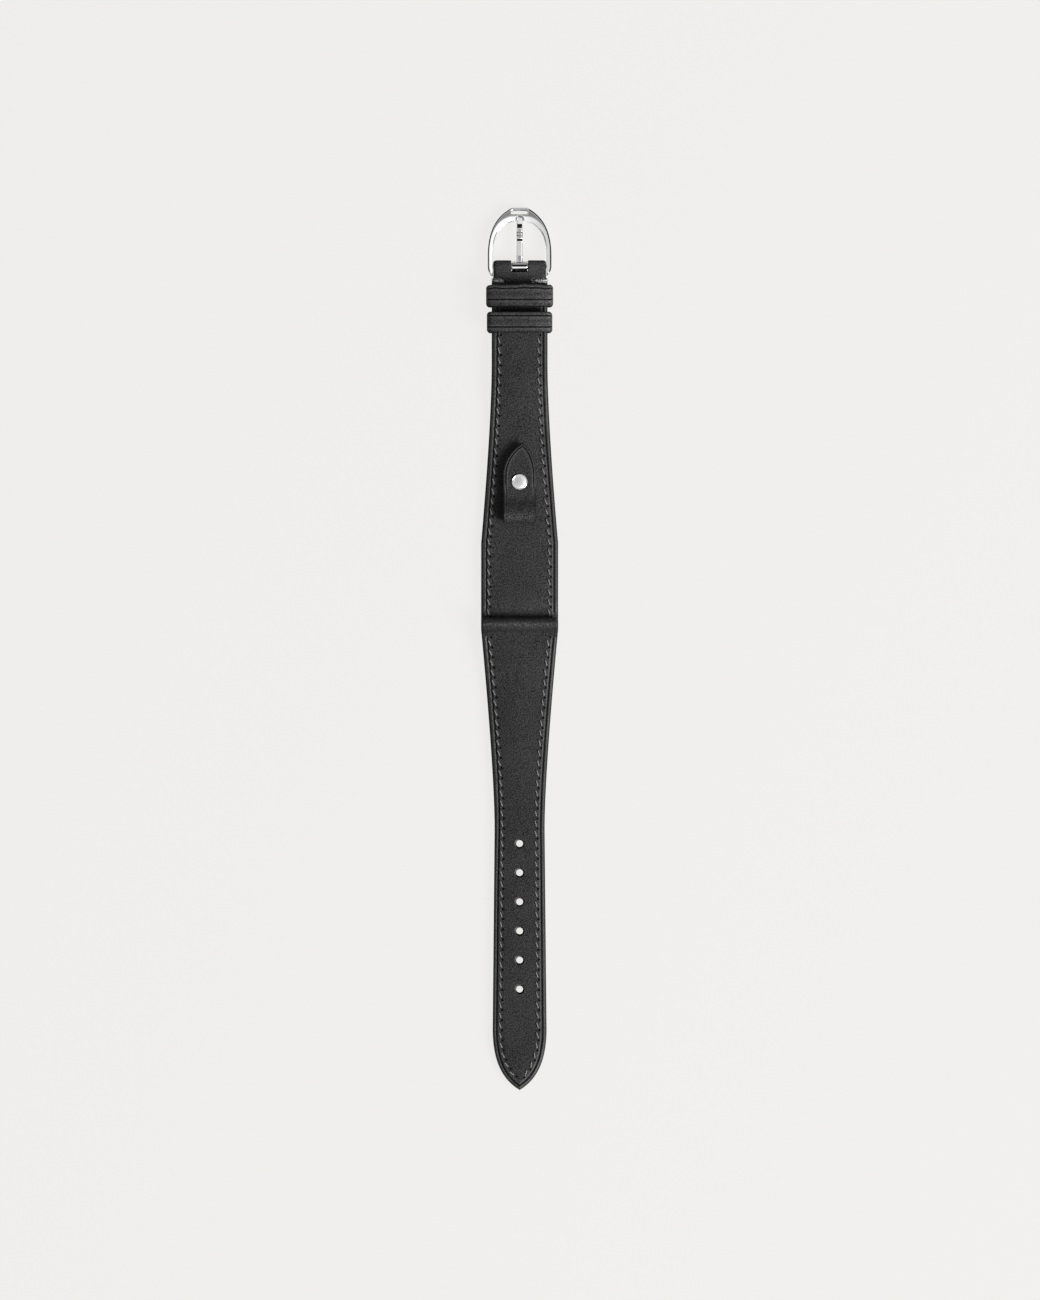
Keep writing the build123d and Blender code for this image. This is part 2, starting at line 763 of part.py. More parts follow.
def stitch_places(edges, start, end):
    """Places along the strap's right edge, set in from it, one for each stitch, turned along the edge."""
    side = Wire(edges)
    count = int((end - start) / stitch_pitch)
    places = []
    for number in range(count + 1):
        share = (start + number * stitch_pitch) / side.length
        spot = side @ share
        along = side % share
        across = Vector(-along.Y, along.X) * stitch_inset
        angle = degrees(atan2(along.Y, along.X)) + stitch_slant
        places.append(Location((spot.X + across.X, spot.Y + across.Y, 0), (0, 0, angle)))
    return places


def stitch_row(places, face_profile):
    """Short slanted lengths of thread lying on the face leather."""
    with BuildPart() as row:
        with BuildSketch():
            with Locations(*places):
                SlotOverall(stitch_length, thread_width)
        extrude(amount=overrun)
        extrude(face_profile, amount=fold_width, both=True, mode=Mode.INTERSECT)
    return row.part


# Thread on the base: a left and a right row from the fold to the fixed keeper
with BuildSketch(Plane.YZ) as base_face:
    with BuildLine():
        under = rise_curve(base_top)
        over = rise_curve(base_top + thread_height)
        Polyline(under @ 0, (fold_y, base_top), (fold_y, base_top + thread_height), over @ 0)
        Polyline(
            under @ 1,
            (roll_taper_y, rise + base_top),
            (roll_taper_y, rise + base_top + thread_height),
            over @ 1,
        )
    make_face()
with BuildLine() as base_side:
    base_edges = side_edges()[3:]
base_side_start = fold_y - (base_edges[0] @ 0).Y
base_places = stitch_places(
    base_edges,
    base_side_start + base_stitch_start,
    roll_taper_y - (base_edges[0] @ 0).Y,
)
base_stitching_right = stitch_row(base_places, base_face.sketch)
base_stitching_right.label = "base_stitching_right"
export_step(base_stitching_right, "parts/base_stitching_right.step")

base_stitching_left = mirror(base_stitching_right, about=Plane.YZ)
base_stitching_left.label = "base_stitching_left"
export_step(base_stitching_left, "parts/base_stitching_left.step")

# Thread on the tail: down both sides to the tip
with BuildSketch(Plane.YZ) as tail_face:
    with BuildLine():
        under = tail_ramp(0)
        over = tail_ramp(-thread_height)
        Polyline(under @ 1, (tip_y, tail_top), (tip_y, tail_top + thread_height), over @ 1)
        Line(under @ 0, over @ 0)
    make_face()
with BuildLine() as tail_side:
    tail_edges = side_edges()[:3]
tail_wire_length = Wire(tail_edges).length
tail_places = stitch_places(tail_edges, tail_stitch_start, tail_wire_length - stitch_pitch / 2)
with BuildPart() as tail_stitching:
    add(stitch_row(tail_places, tail_face.sketch))
    mirror(about=Plane.YZ)
tail_stitching.part.label = "tail_stitching"
export_step(tail_stitching.part, "parts/tail_stitching.step")

print(f"overall length {frame_front + bar_y - tip_y:.2f}, bar at y {bar_y:.2f} z {bar_z:.2f}")
print(f"fold at y {fold_y:.2f} z {fold_z:.2f}, tab loop at y {tab_axis_y:.2f} z {tab_axis_z:.2f}")
print(f"frame leans {degrees(frame_lean):.2f} degrees, keepers' inner top at z {keeper_inner_top:.2f}")
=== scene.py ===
"""Leather watch strap: the looks that go round the packed CAD model.

Every surface is worked out in millimetres, in the model's own frame, and goes into its mesh in metres.
+X runs across the strap, +Y along it towards the buckle, and +Z up through its face.
"""

import bmesh
import bpy
import numpy as np
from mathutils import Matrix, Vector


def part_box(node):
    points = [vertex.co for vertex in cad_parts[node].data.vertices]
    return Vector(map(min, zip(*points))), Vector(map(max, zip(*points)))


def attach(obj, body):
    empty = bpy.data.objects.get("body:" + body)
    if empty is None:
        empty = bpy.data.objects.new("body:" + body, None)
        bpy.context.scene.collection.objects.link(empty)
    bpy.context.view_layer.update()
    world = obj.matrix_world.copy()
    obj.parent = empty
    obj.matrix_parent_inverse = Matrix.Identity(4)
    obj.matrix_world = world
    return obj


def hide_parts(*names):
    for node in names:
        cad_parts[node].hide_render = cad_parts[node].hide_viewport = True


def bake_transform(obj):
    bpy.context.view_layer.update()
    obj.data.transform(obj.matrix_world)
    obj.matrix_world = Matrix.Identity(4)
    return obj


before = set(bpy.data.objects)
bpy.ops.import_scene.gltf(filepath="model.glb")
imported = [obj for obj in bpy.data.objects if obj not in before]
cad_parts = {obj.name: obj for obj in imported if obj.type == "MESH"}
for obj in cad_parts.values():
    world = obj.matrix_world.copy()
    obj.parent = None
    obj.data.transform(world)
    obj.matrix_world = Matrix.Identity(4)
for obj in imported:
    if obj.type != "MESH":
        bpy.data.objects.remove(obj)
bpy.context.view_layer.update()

bl_info = {
    "name": "Leather Watch Strap",
    "version": (1, 0, 0),
    "blender": (4, 5, 0),
    "location": "3D View > Sidebar > Strap",
    "description": "Dresses the CAD model of a leather watch strap with its leather, thread and steel",
    "category": "Object",
}

MM = 0.001


def node_box(name):
    """A CAD node's lowest and highest corner, in millimetres."""
    low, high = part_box(name)
    return np.array(low) / MM, np.array(high) / MM


# Thicknesses and heights of the leathers, as the CAD has them
LINING = 0.8
FILLER = 0.8
BASE_FACE = 1.1
TAIL_FACE = 0.8
TAB_LEATHER = 0.8
SKIVE = 0.5
RISE = 1.08
BASE_TOP = LINING + FILLER + BASE_FACE
TAIL_TOP = LINING + FILLER + TAIL_FACE

# Half widths of the strap's outline
TIP_HALF = 7.0
WAIST_HALF = 6.5
FOLD_HALF = 10.0
END_HALF = 7.25
KNUCKLE_HALF = 6.85

# The fold and the climb up to it
TIP_Y = node_box("lining")[0][1]
FOLD_RADIUS = 1.75
TUNNEL_RADIUS = 0.95
FOLD_LEAN = 30
FOLD_Y = node_box("tail_top_leather")[1][1] - FOLD_RADIUS
FOLD_SEAT = BASE_TOP - SKIVE
FOLD_Z = FOLD_SEAT + FOLD_RADIUS
LAP_Y = node_box("base_top_leather")[0][1]
SKIVE_Y = FOLD_Y + FOLD_RADIUS
SKIVE_END_Y = SKIVE_Y + 3.8
CLIMB_Y = FOLD_Y - 21.5
CLIMB_PULL_Y = FOLD_Y - 12.5
VALLEY_PULL = 2.5
CREASE_END_Y = FOLD_Y - 2.6

# The rise over the keepers' lower walls, and the roll round the buckle's bar
BAR_Y, BAR_Z = (sum(node_box("spring_bar_tube")) / 2)[1:]
ROLL_RADIUS = 1.55
ROLL_TAPER_Y = BAR_Y - 11.5
TURNED_UNDER_Y = node_box("lining")[1][1]
KNUCKLE_Y = BAR_Y - 3.15
NOTCH_WIDTH = 1.35
NOTCH_BACK_Y = KNUCKLE_Y - NOTCH_WIDTH
RISE_END_Y = BAR_Y - 28.43
RISE_START_Y = RISE_END_Y - 15.0
BASE_SEAM_Y = FOLD_Y + 0.6
SLOT_HALF = 2.15

# The adjustment holes: cells from one to the next, cells that a hole pulls into rings, and the rings from its rim out
HOLE_PITCH = 7.57
HOLE_COUNT = 6
HOLE_ROWS = [TIP_Y + 26.2 + HOLE_PITCH * number for number in range(HOLE_COUNT)]
HOLE_CELLS = 38
HOLE_STEP = HOLE_PITCH / HOLE_CELLS
HOLE_OPEN, HOLE_REACH = 4, 9
RING_RADII = [0.9, 0.99, 1.12, 1.3, 1.52, 1.79]
RING_PULLS = [1, 1, 1, 0.85, 0.45, 0]

# The snap tab
TAB_Y = node_box("tab_flap")[0][1] + FOLD_RADIUS
TAB_Z = node_box("tab_flap")[1][2] - FOLD_RADIUS
TAB_TIP_Y = node_box("tab_flap")[1][1]
TAB_HALF = 4.25
TAB_POINT = 7.8
TAB_DROP = 5.6
TAB_LOOP = 328
TAB_CREASE = 0.62
TAB_ROOT_ROUND = 1.5
CAP_HEIGHT = 0.42
CAP_RADIUS = 2.08
TAB_FLAT_TOP = node_box("snap_cap")[1][2] - CAP_HEIGHT
SNAP_Y = (sum(node_box("snap_cap")) / 2)[1]

# Each piece: the body that it rides on, the CAD node that it takes the place of, and its slot
PIECES = {
    "lining_calf": ("strap", "lining", "lining_leather"),
    "face_leather_tail": ("strap", "tail_top_leather", "face_leather"),
    "filler_tail": ("strap", "tail_core", "raw_leather"),
    "face_leather_base": ("strap", "base_top_leather", "face_leather"),
    "filler_base": ("strap", "base_core", "raw_leather"),
    "keeper_fixed": ("strap", "fixed_keeper", "face_leather"),
    "keeper_free": ("free_keeper", "free_keeper", "face_leather"),
    "tab_leaf": ("tab", "tab_flap", "face_leather"),
    "tab_lower_leaf": ("strap", "tab_root", "face_leather"),
    "thread_tail": ("strap", "tail_stitching", "thread"),
    "thread_base_right": ("strap", "base_stitching_right", "thread"),
    "thread_base_left": ("strap", "base_stitching_left", "thread"),
    "frame_arch": ("frame", "buckle_frame", "polished_steel"),
    "tongue_prong": ("tongue", "buckle_tongue", "polished_steel"),
    "snap_button": ("tab", "snap_cap", "snap_cap_steel"),
    "spring_coil_left": (None, "spring_bar_spring", "spring_bar_steel"),
    "spring_coil_right": (None, "spring_bar_spring", "spring_bar_steel"),
}


# ---- Curves and grids


def smooth(value, start, end):
    """The smooth step 3t^2 - 2t^3, t going from 0 at start to 1 at end."""
    t = np.clip((np.asarray(value, float) - start) / (end - start), 0, 1)
    return t * t * (3 - 2 * t)


def plateau(value, start, full, fade, end):
    """1 from full to fade, and smooth steps from 0 at start and to 0 at end."""
    return smooth(value, start, full) * (1 - smooth(value, fade, end))


def bump(value, middle, width):
    """A bell curve of height 1: exp(-((value - middle) / width)^2)."""
    return np.exp(-(((value - middle) / width) ** 2))


def ridge(value, height, middle, width):
    """A bell curve of this height, or a furrow where it is below nil."""
    return height * bump(value, middle, width)


def rounding(value, radius):
    """How far a corner rounded by a quarter circle falls back: r (1 - sqrt(1 - u^2)), u from 0 at r away to 1."""
    u = np.clip(1 - value / radius, 0, 1)
    return radius * (1 - np.sqrt(1 - u**2))


def evened(values, reach, width):
    """Values evened out by a bell curve's weights over this many places on each side, the end values held."""
    weights = bump(np.arange(-reach, reach + 1), 0, width)
    return np.convolve(np.pad(values, reach, mode="edge"), weights / weights.sum(), "valid")


def signed_power(value, power):
    """The power of a value's size, with the value's own sign: below 1 it squares a circle off."""
    return np.sign(value) * np.abs(value) ** power


def unit(vectors):
    """Vectors brought to length 1."""
    return vectors / np.linalg.norm(vectors, axis=-1, keepdims=True)


def bezier(points, count=200):
    """Points of a Bezier curve, its control points averaged in pairs until one is left."""
    t = np.linspace(0, 1, count)[:, None]
    rows = [np.tile(point, (count, 1)) for point in np.asarray(points, float)]
    while len(rows) > 1:
        rows = [a * (1 - t) + b * t for a, b in zip(rows, rows[1:])]
    return rows[0]


def arc(centre, radius, start, end, count=60):
    """Points of a circular arc between two angles in degrees."""
    turn = np.radians(np.linspace(start, end, count))
    return np.stack([centre[0] + radius * np.cos(turn), centre[1] + radius * np.sin(turn)], 1)


def quarter(count):
    """The sine of a quarter turn in equal steps, from 0 to 1."""
    return np.sin(np.linspace(0, np.pi / 2, count))


def lengths(points):
    """How far along a line each of its points is."""
    return np.concatenate([[0], np.cumsum(np.hypot(*np.diff(points, axis=0).T))])


def along(points, places):
    """The points of a line at these lengths along it."""
    far = lengths(points)
    return np.stack([np.interp(places, far, points[:, axis]) for axis in (0, 1)], -1)


def even(points, count):
    """This many points in equal steps along a line."""
    return along(points, np.linspace(0, lengths(points)[-1], count))


def strap_edge():
    """The strap's right edge from the tip to the bar, as (y, x): three Bezier curves and straight runs.

    The curves' points lie at shares of the tail's and of the base's length.
    """
    tail, base = FOLD_Y - TIP_Y, BAR_Y - FOLD_Y
    corner, past = 0.02, 9
    tip = [(0, 0), (0.78 * TIP_HALF, 0.027 * tail), (TIP_HALF, 0.076 * tail), (TIP_HALF, 0.132 * tail)]
    flare = [(WAIST_HALF, 0.558 * tail), (WAIST_HALF, 0.677 * tail), (FOLD_HALF, 0.988 * tail)]
    narrowing = [(FOLD_HALF, 0.227 * base), (END_HALF, 0.573 * base), (END_HALF, 0.732 * base)]
    knuckle = [(END_HALF, KNUCKLE_Y - corner), (KNUCKLE_HALF, KNUCKLE_Y + corner), (KNUCKLE_HALF, BAR_Y + past)]
    runs = bezier(tip) + (0, TIP_Y), bezier(flare) + (0, TIP_Y), bezier(narrowing) + (0, FOLD_Y), knuckle
    return np.concatenate(runs)[:, ::-1]


EDGE = strap_edge()


def half_width(y):
    """Half of the strap's width at a place along it."""
    return np.interp(y, EDGE[:, 0], EDGE[:, 1])


def edge_slope(y):
    """How fast the half width grows along the strap, evened out over a millimetre, and nil at holes and rolls."""
    step, past = 0.05, 4
    far, near, fold_near = 7, 3, 2
    fine = np.arange(TIP_Y, BAR_Y + past, step)
    slope = np.gradient(half_width(fine), fine)
    slope[fine > KNUCKLE_Y - 1] = 0
    slope = evened(slope, 40, 14)
    holes = plateau(fine, HOLE_ROWS[0] - far, HOLE_ROWS[0] - near, HOLE_ROWS[-1] + near, HOLE_ROWS[-1] + far)
    fold = plateau(fine, FOLD_Y - far, FOLD_Y - fold_near, FOLD_Y + near, FOLD_Y + far)
    return np.interp(y, fine, slope * (1 - holes) * (1 - fold))


class Route:
    """A line in the YZ plane that a strip of leather follows, with its outward side on the left of +X."""

    def __init__(self, *runs):
        line = np.concatenate([np.asarray(run, float) for run in runs])
        line = line[np.concatenate([[True], np.hypot(*np.diff(line, axis=0).T) > 1e-6])]
        step = 0.02
        self.far = np.arange(0, lengths(line)[-1], step)
        self.line = along(line, self.far)
        heading = unit(np.stack([evened(column, 12, 5) for column in np.gradient(self.line, axis=0).T], 1))
        self.normal = np.stack([-heading[:, 1], heading[:, 0]], 1)
        self.end = self.far[-1]

    def at(self, place, lift=0.0):
        """Points (y, z) at places along the route, lifted off it along its normal."""
        y, z, across, up = (np.interp(place, self.far, column) for column in (*self.line.T, *self.normal.T))
        return y + lift * across, z + lift * up

    def place(self, y):
        """How far along the route it first reaches this y."""
        reached = np.maximum.accumulate(self.line[:, 0])
        return np.interp(y, reached, self.far)


# Distances in from a strip's edge at which its ribs have points, and those of their last points from the middle line
BAND = [0, 0.015, 0.05, 0.11, 0.19, 0.29, 0.4, 0.52, 0.64, 0.74, 0.82, 0.89, 0.95, 1.01, 1.08, 1.16, 1.26, 1.38]
BAND = np.array(BAND + [1.52, 1.7, 1.9, 2.1, 2.35, 2.7, 3.1])
TAB_BAND = BAND[BAND < 2.0]
PLAIN_BAND = np.array([0, 0.02, 0.06, 0.13, 0.22, 0.34, 0.6, 1.2, 2.0, 3.1])
HOLE_COLUMNS = HOLE_STEP * np.arange(HOLE_REACH, -1, -1)
SLOT_COLUMNS = np.array([2.6, 2.3, SLOT_HALF, 2.0, 1.4, 0.7, 0])
PLAIN_COLUMNS = np.array([1.8, 0.9, 0])
TAB_COLUMNS = np.array([0.9, 0.5, 0])


def mirrored(right, sign=1):
    """Both halves of a strip's rows: the given one with this sign, and then the same turned round."""
    return np.concatenate([sign * right, right[:, -2::-1]], 1)


def strip_grid(places, half, slope, band, columns, extra=3):
    """Points across a strip, row by row: x, place along the route, and distance in from the nearer edge.

    Each rib leaves the edge at a right angle and ends on the middle line: x = half - d / sqrt(1 + slope^2).
    """
    lean = 1 / np.sqrt(1 + slope**2)
    reach = half / lean
    edge = np.minimum(band[None, :], reach[:, None])
    inner = (half[:, None] - columns[None, :]) / lean[:, None]
    inner = np.minimum(np.maximum(inner, edge[:, -1:]), reach[:, None])
    share = np.linspace(0, 1, extra + 2)[None, 1:-1]
    between = edge[:, -1:] + share * (inner[:, :1] - edge[:, -1:])
    inset = np.concatenate([edge, between, inner], 1)
    x = half[:, None] - inset * lean[:, None]
    place = places[:, None] + inset * (slope * lean)[:, None]
    return mirrored(x, -1), mirrored(place), mirrored(inset)


def lay(route, x, place, lift):
    """Points of a grid laid on a route: across it by x, along it by place and off it by lift."""
    return np.stack([x, *route.at(place, lift)], -1)


def grid_cells(rows, columns, back=False):
    """The numbers of a grid's points, and every cell's four corners, the other way round for the grid's back."""
    index = np.arange(rows * columns).reshape(rows, columns)
    corners = [index[:-1, :-1], index[:-1, 1:], index[1:, 1:], index[1:, :-1]]
    if back:
        corners[1], corners[3] = corners[3], corners[1]
    return index, np.stack(corners, -1)


def shell(outer, inner, keep=None, ring=False):
    """One closed skin from two grids of points: the kept cells of both, and a wall along every open border."""
    index, cells = grid_cells(*outer.shape[:2])
    if keep is None:
        keep = np.ones(cells.shape[:2], bool)
    over = cells[keep]
    under = over[:, ::-1] + index.size
    solid = np.pad(keep, 1)
    if ring:
        solid[0, 1:-1], solid[-1, 1:-1] = keep[-1], keep[0]
    before, after = solid[:-1, 1:-1], solid[1:, 1:-1]
    left, right = solid[1:-1, :-1], solid[1:-1, 1:]
    low, high = index[:, :-1], index[:, 1:]
    first, last = index[:-1], index[1:]
    walls = [
        (high[after & ~before], low[after & ~before]),
        (low[before & ~after], high[before & ~after]),
        (first[right & ~left], last[right & ~left]),
        (last[left & ~right], first[left & ~right]),
    ]
    walls = [np.stack([p, q, q + index.size, p + index.size], 1) for p, q in walls]
    points = np.concatenate([outer.reshape(-1, 3), inner.reshape(-1, 3)])
    return points, np.concatenate([over, under, *walls])


def make_piece(name, points, faces, material, values=None, sharp=35.0):
    """A mesh object from points in millimetres, its doubles merged, in its place in the table of pieces."""
    used, faces = np.unique(faces, return_inverse=True)
    mesh = bpy.data.meshes.new(name)
    mesh.from_pydata((points[used] * MM).tolist(), [], faces.reshape(-1, 4).tolist())
    for label, numbers in (values or {}).items():
        attribute = mesh.attributes.new(label, "FLOAT", "POINT")
        attribute.data.foreach_set("value", np.asarray(numbers, np.float32)[used])
    built = bmesh.new()
    built.from_mesh(mesh)
    bmesh.ops.remove_doubles(built, verts=built.verts, dist=2e-6)
    bmesh.ops.dissolve_degenerate(built, edges=built.edges, dist=1e-7)
    built.to_mesh(mesh)
    built.free()
    mesh.shade_smooth()
    mesh.set_sharp_from_angle(angle=np.radians(sharp))
    mesh.materials.append(material)
    piece = bpy.data.objects.new(name, mesh)
    bpy.context.scene.collection.objects.link(piece)
    body, replaced, slot = PIECES[name]
    if body:
        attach(piece, body)
    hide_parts(replaced)
    return piece


def twice(*grids):
    """A value for every point of a shell, the same on its outer and its inner grid."""
    return [np.concatenate([grid.ravel(), grid.ravel()]) for grid in grids]


# ---- Sizes and colours that a user would change


def length_setting(name, description, default):
    """A length setting in metres."""
    return bpy.props.FloatProperty(
        name=name, description=description, default=default, min=0, unit="LENGTH", precision=5
    )


def colour_setting(name, description, default):
    """A colour setting."""
    return bpy.props.FloatVectorProperty(
        name=name, description=description, default=default, subtype="COLOR", size=3, min=0, max=1
    )


def share_setting(name, description, default, top=1.0):
    """A plain number from nil to top."""
    return bpy.props.FloatProperty(name=name, description=description, default=default, min=0, max=top)


class StrapSeamSettings(bpy.types.PropertyGroup):
    """The creased edge, the saddle stitch and the punched holes."""

    edge_round: length_setting("Edge round", "How far the bead along an edge falls off outwards", 0.00042)
    crease_inset: length_setting("Crease inset", "Distance of the crease from the edge", 0.00095)
    crease_width: length_setting("Crease width", "From the crease to the full height of the face", 0.00042)
    crease_depth: length_setting("Crease depth", "Depth of the crease", 0.00029)
    swell: length_setting("Swell", "How far the face stands up past the crease", 0.00005)
    tail_row: length_setting("Tail row", "Distance of the tail's needle holes from the edge", 0.00212)
    base_row: length_setting("Base row", "Distance of the base's needle holes from the edge", 0.00212)
    pitch: length_setting("Stitch pitch", "Distance from one stitch to the next", 0.00262)
    stitch: length_setting("Stitch length", "Length of thread that shows in a stitch", 0.00190)
    hole_aside: length_setting("Hole offset", "How far to the right of the row its needle holes lie", 0.00024)
    thread_aside: length_setting("Thread offset", "How far to the left of the row the thread lies", 0.00026)
    thread: length_setting("Thread", "Width of the thread", 0.00036)
    thread_colour: colour_setting("Thread colour", "Waxed thread", (0.235, 0.235, 0.23))


class StrapLeatherSettings(bpy.types.PropertyGroup):
    """Colours and surface of the leathers."""

    face: colour_setting("Face", "Dyed face of the calf leather", (0.0305, 0.0305, 0.031))
    keeper: colour_setting("Keepers", "Face of the keepers and the tab", (0.034, 0.034, 0.0345))
    painted_edge: colour_setting("Painted edge", "Paint on the cut edges", (0.006, 0.006, 0.006))
    raw: colour_setting("Raw leather", "Cut and skived leather", (0.5, 0.5, 0.495))
    lining: colour_setting("Lining", "Skin side of the strap", (0.032, 0.031, 0.030))
    gloss: share_setting("Gloss", "Specular level of the leather", 0.11)
    roughness: share_setting("Roughness", "Roughness of the face leather", 0.52)
    paint_roughness: share_setting("Paint roughness", "Roughness of the painted edge", 0.42)
    burnish_roughness: share_setting("Burnish roughness", "Roughness of the burnished edge", 0.45)
    pore: length_setting("Pore", "Distance between the pores of the grain", 0.0005)


class StrapSteelSettings(bpy.types.PropertyGroup):
    """Colours and polish of the steel."""

    polished: colour_setting("Polished", "Polished steel of the buckle", (0.90, 0.90, 0.905))
    brushed: colour_setting("Brushed", "Face of the snap's cap", (0.84, 0.84, 0.845))
    plain: colour_setting("Plain", "Turned and pressed steel", (0.60, 0.60, 0.61))
    polish: share_setting("Polish roughness", "Roughness of the polished steel", 0.06)
    brushing: share_setting("Brushed roughness", "Roughness of the brushed steel", 0.36)


class StrapStageSettings(bpy.types.PropertyGroup):
    """Floor, light and camera."""

    floor: colour_setting("Floor", "Pale floor", (0.871, 0.863, 0.847))
    view_height: length_setting("View height", "How much of the floor the picture takes in, top to bottom", 0.338)
    distance: length_setting("Camera distance", "From the camera to the floor", 2.4)
    key: bpy.props.FloatProperty(
        name="Key lamp", description="Power of the lamp at the lower right", default=50.0, min=0, unit="POWER"
    )
    fill: share_setting("Fill", "Strength of the even light all round", 0.17, 4.0)


SETTINGS = {
    "strap_seam": StrapSeamSettings,
    "strap_leather": StrapLeatherSettings,
    "strap_steel": StrapSteelSettings,
    "strap_stage": StrapStageSettings,
}


# ---- Materials

# Where most of a noise's values lie
NOISE = (0.3, 0.7)

# A seam's marks, in millimetres from their line: how far each is full, and how far out it is gone
CREASE_FADE = (0.05, 0.21)
HOLE_FADE = (0.17, 0.38)
HIGHLIGHT_FADE = (0.04, 0.24)
HIGHLIGHT_ASIDE = 0.36
PAINT_FADE = (0.08, 0.45)
BURNISH_START = (0.08, 0.3)
BURNISH_FADE = (0.6, 1.3)
BURNISH = 0.47


def empty_tree(block):
    """The node tree of a new material or world, cleared."""
    block.use_nodes = True
    block.node_tree.nodes.clear()
    return block.node_tree


def node(tree, kind, settings=None, inputs=None):
    """A shader node with its settings, and its inputs as plain values or as other nodes' sockets."""
    made = tree.nodes.new("ShaderNode" + kind)
    for key, value in (settings or {}).items():
        setattr(made, key, value)
    for key, value in (inputs or {}).items():
        if isinstance(value, bpy.types.NodeSocket):
            tree.links.new(value, made.inputs[key])
        else:
            made.inputs[key].default_value = value
    return made


def sums(tree, operation, *values):
    """A Math node's result."""
    return node(tree, "Math", {"operation": operation}, dict(enumerate(values))).outputs[0]


def product(tree, *values):
    """Two values multiplied."""
    return sums(tree, "MULTIPLY", *values)


def ramp(tree, value, start, end, low=0.0, high=1.0):
    """A smooth ramp from low to high while value goes from start to end."""
    inputs = {"Value": value, "From Min": start, "From Max": end, "To Min": low, "To Max": high}
    return node(tree, "MapRange", {"interpolation_type": "SMOOTHSTEP"}, inputs).outputs["Result"]


def fade(tree, value, start, end, full=1.0):
    """A smooth ramp from full down to nothing while value goes from start to end."""
    return ramp(tree, value, start, end, full, 0.0)


def from_middle(tree, turns):
    """How far a place is from the middle of its turn: |fract(turns) - 1/2|."""
    return sums(tree, "ABSOLUTE", sums(tree, "SUBTRACT", sums(tree, "FRACT", turns), 0.5))


def attribute(tree, name):
    """A number that the mesh carries at its points."""
    return node(tree, "Attribute", {"attribute_name": name}).outputs["Fac"]


def object_place(tree):
    """The place on the piece, in metres."""
    return node(tree, "TexCoord").outputs["Object"]


def noise(tree, place, scale, detail=2.0, roughness=0.5):
    """A noise's node."""
    return node(tree, "TexNoise", None, {"Vector": place, "Scale": scale, "Detail": detail, "Roughness": roughness})


def blend_colour(tree, share, first, second, how="MIX"):
    """Two colours mixed by a share."""
    made = node(tree, "Mix", {"data_type": "RGBA", "blend_type": how}, {0: share, 6: first, 7: second})
    return made.outputs[2]


def plain(colour):
    """A colour setting with full alpha."""
    return (*colour, 1.0)


def grey(tree, tone):
    """A grey of this tone."""
    return node(tree, "CombineColor", None, {0: tone, 1: tone, 2: tone}).outputs[0]


def toned(tree, colour, tone):
    """A colour setting multiplied by a grey."""
    return blend_colour(tree, 1.0, plain(colour), tone, "MULTIPLY")


def new_group(name, inputs, outputs):
    """A shader node group with number inputs and number outputs, and the nodes for both."""
    group = bpy.data.node_groups.new(name, "ShaderNodeTree")
    for labels, way in ((inputs, "INPUT"), (outputs, "OUTPUT")):
        for label in labels:
            group.interface.new_socket(name=label, in_out=way, socket_type="NodeSocketFloat")
    return group, group.nodes.new("NodeGroupInput").outputs, group.nodes.new("NodeGroupOutput").inputs


def use_group(tree, name, inputs):
    """A shared node group placed in a material, built when it is first asked for."""
    group = bpy.data.node_groups.get(name) or GROUPS[name](name)
    return node(tree, "Group", {"node_tree": group}, inputs).outputs


def grain_group(name):
    """Leather grain: fine pebbles between pores, softer folds across them, and a slow drift of tone."""
    group, given, out = new_group(name, ["Scale"], ["Height", "Tone"])
    place = object_place(group)
    wander = 0.0003
    bend = noise(group, place, product(group, given["Scale"], 0.6))
    bent_inputs = {0: bend.outputs["Color"], 1: (wander,) * 3, 2: place}
    bent = node(group, "VectorMath", {"operation": "MULTIPLY_ADD"}, bent_inputs).outputs[0]
    pebble_inputs = {"Vector": bent, "Scale": given["Scale"]}
    pebble = node(group, "TexVoronoi", {"feature": "DISTANCE_TO_EDGE"}, pebble_inputs)
    pore = ramp(group, pebble.outputs["Distance"], 0.0, 0.3)
    fine = noise(group, place, product(group, given["Scale"], 1.45), 3.0, 0.62).outputs[0]
    slow = noise(group, place, product(group, given["Scale"], 0.06)).outputs[0]
    height = sums(group, "MULTIPLY_ADD", fine, 1.6, product(group, pore, 0.14))
    group.links.new(height, out["Height"])
    speckle = ramp(group, fine, *NOISE, -0.78, 0.86)
    drift = ramp(group, slow, *NOISE, -0.12, 0.12)
    tone = sums(group, "ADD", sums(group, "ADD", speckle, drift), ramp(group, pore, 0.0, 1.0, 0.86, 1.03))
    group.links.new(tone, out["Tone"])
    return group


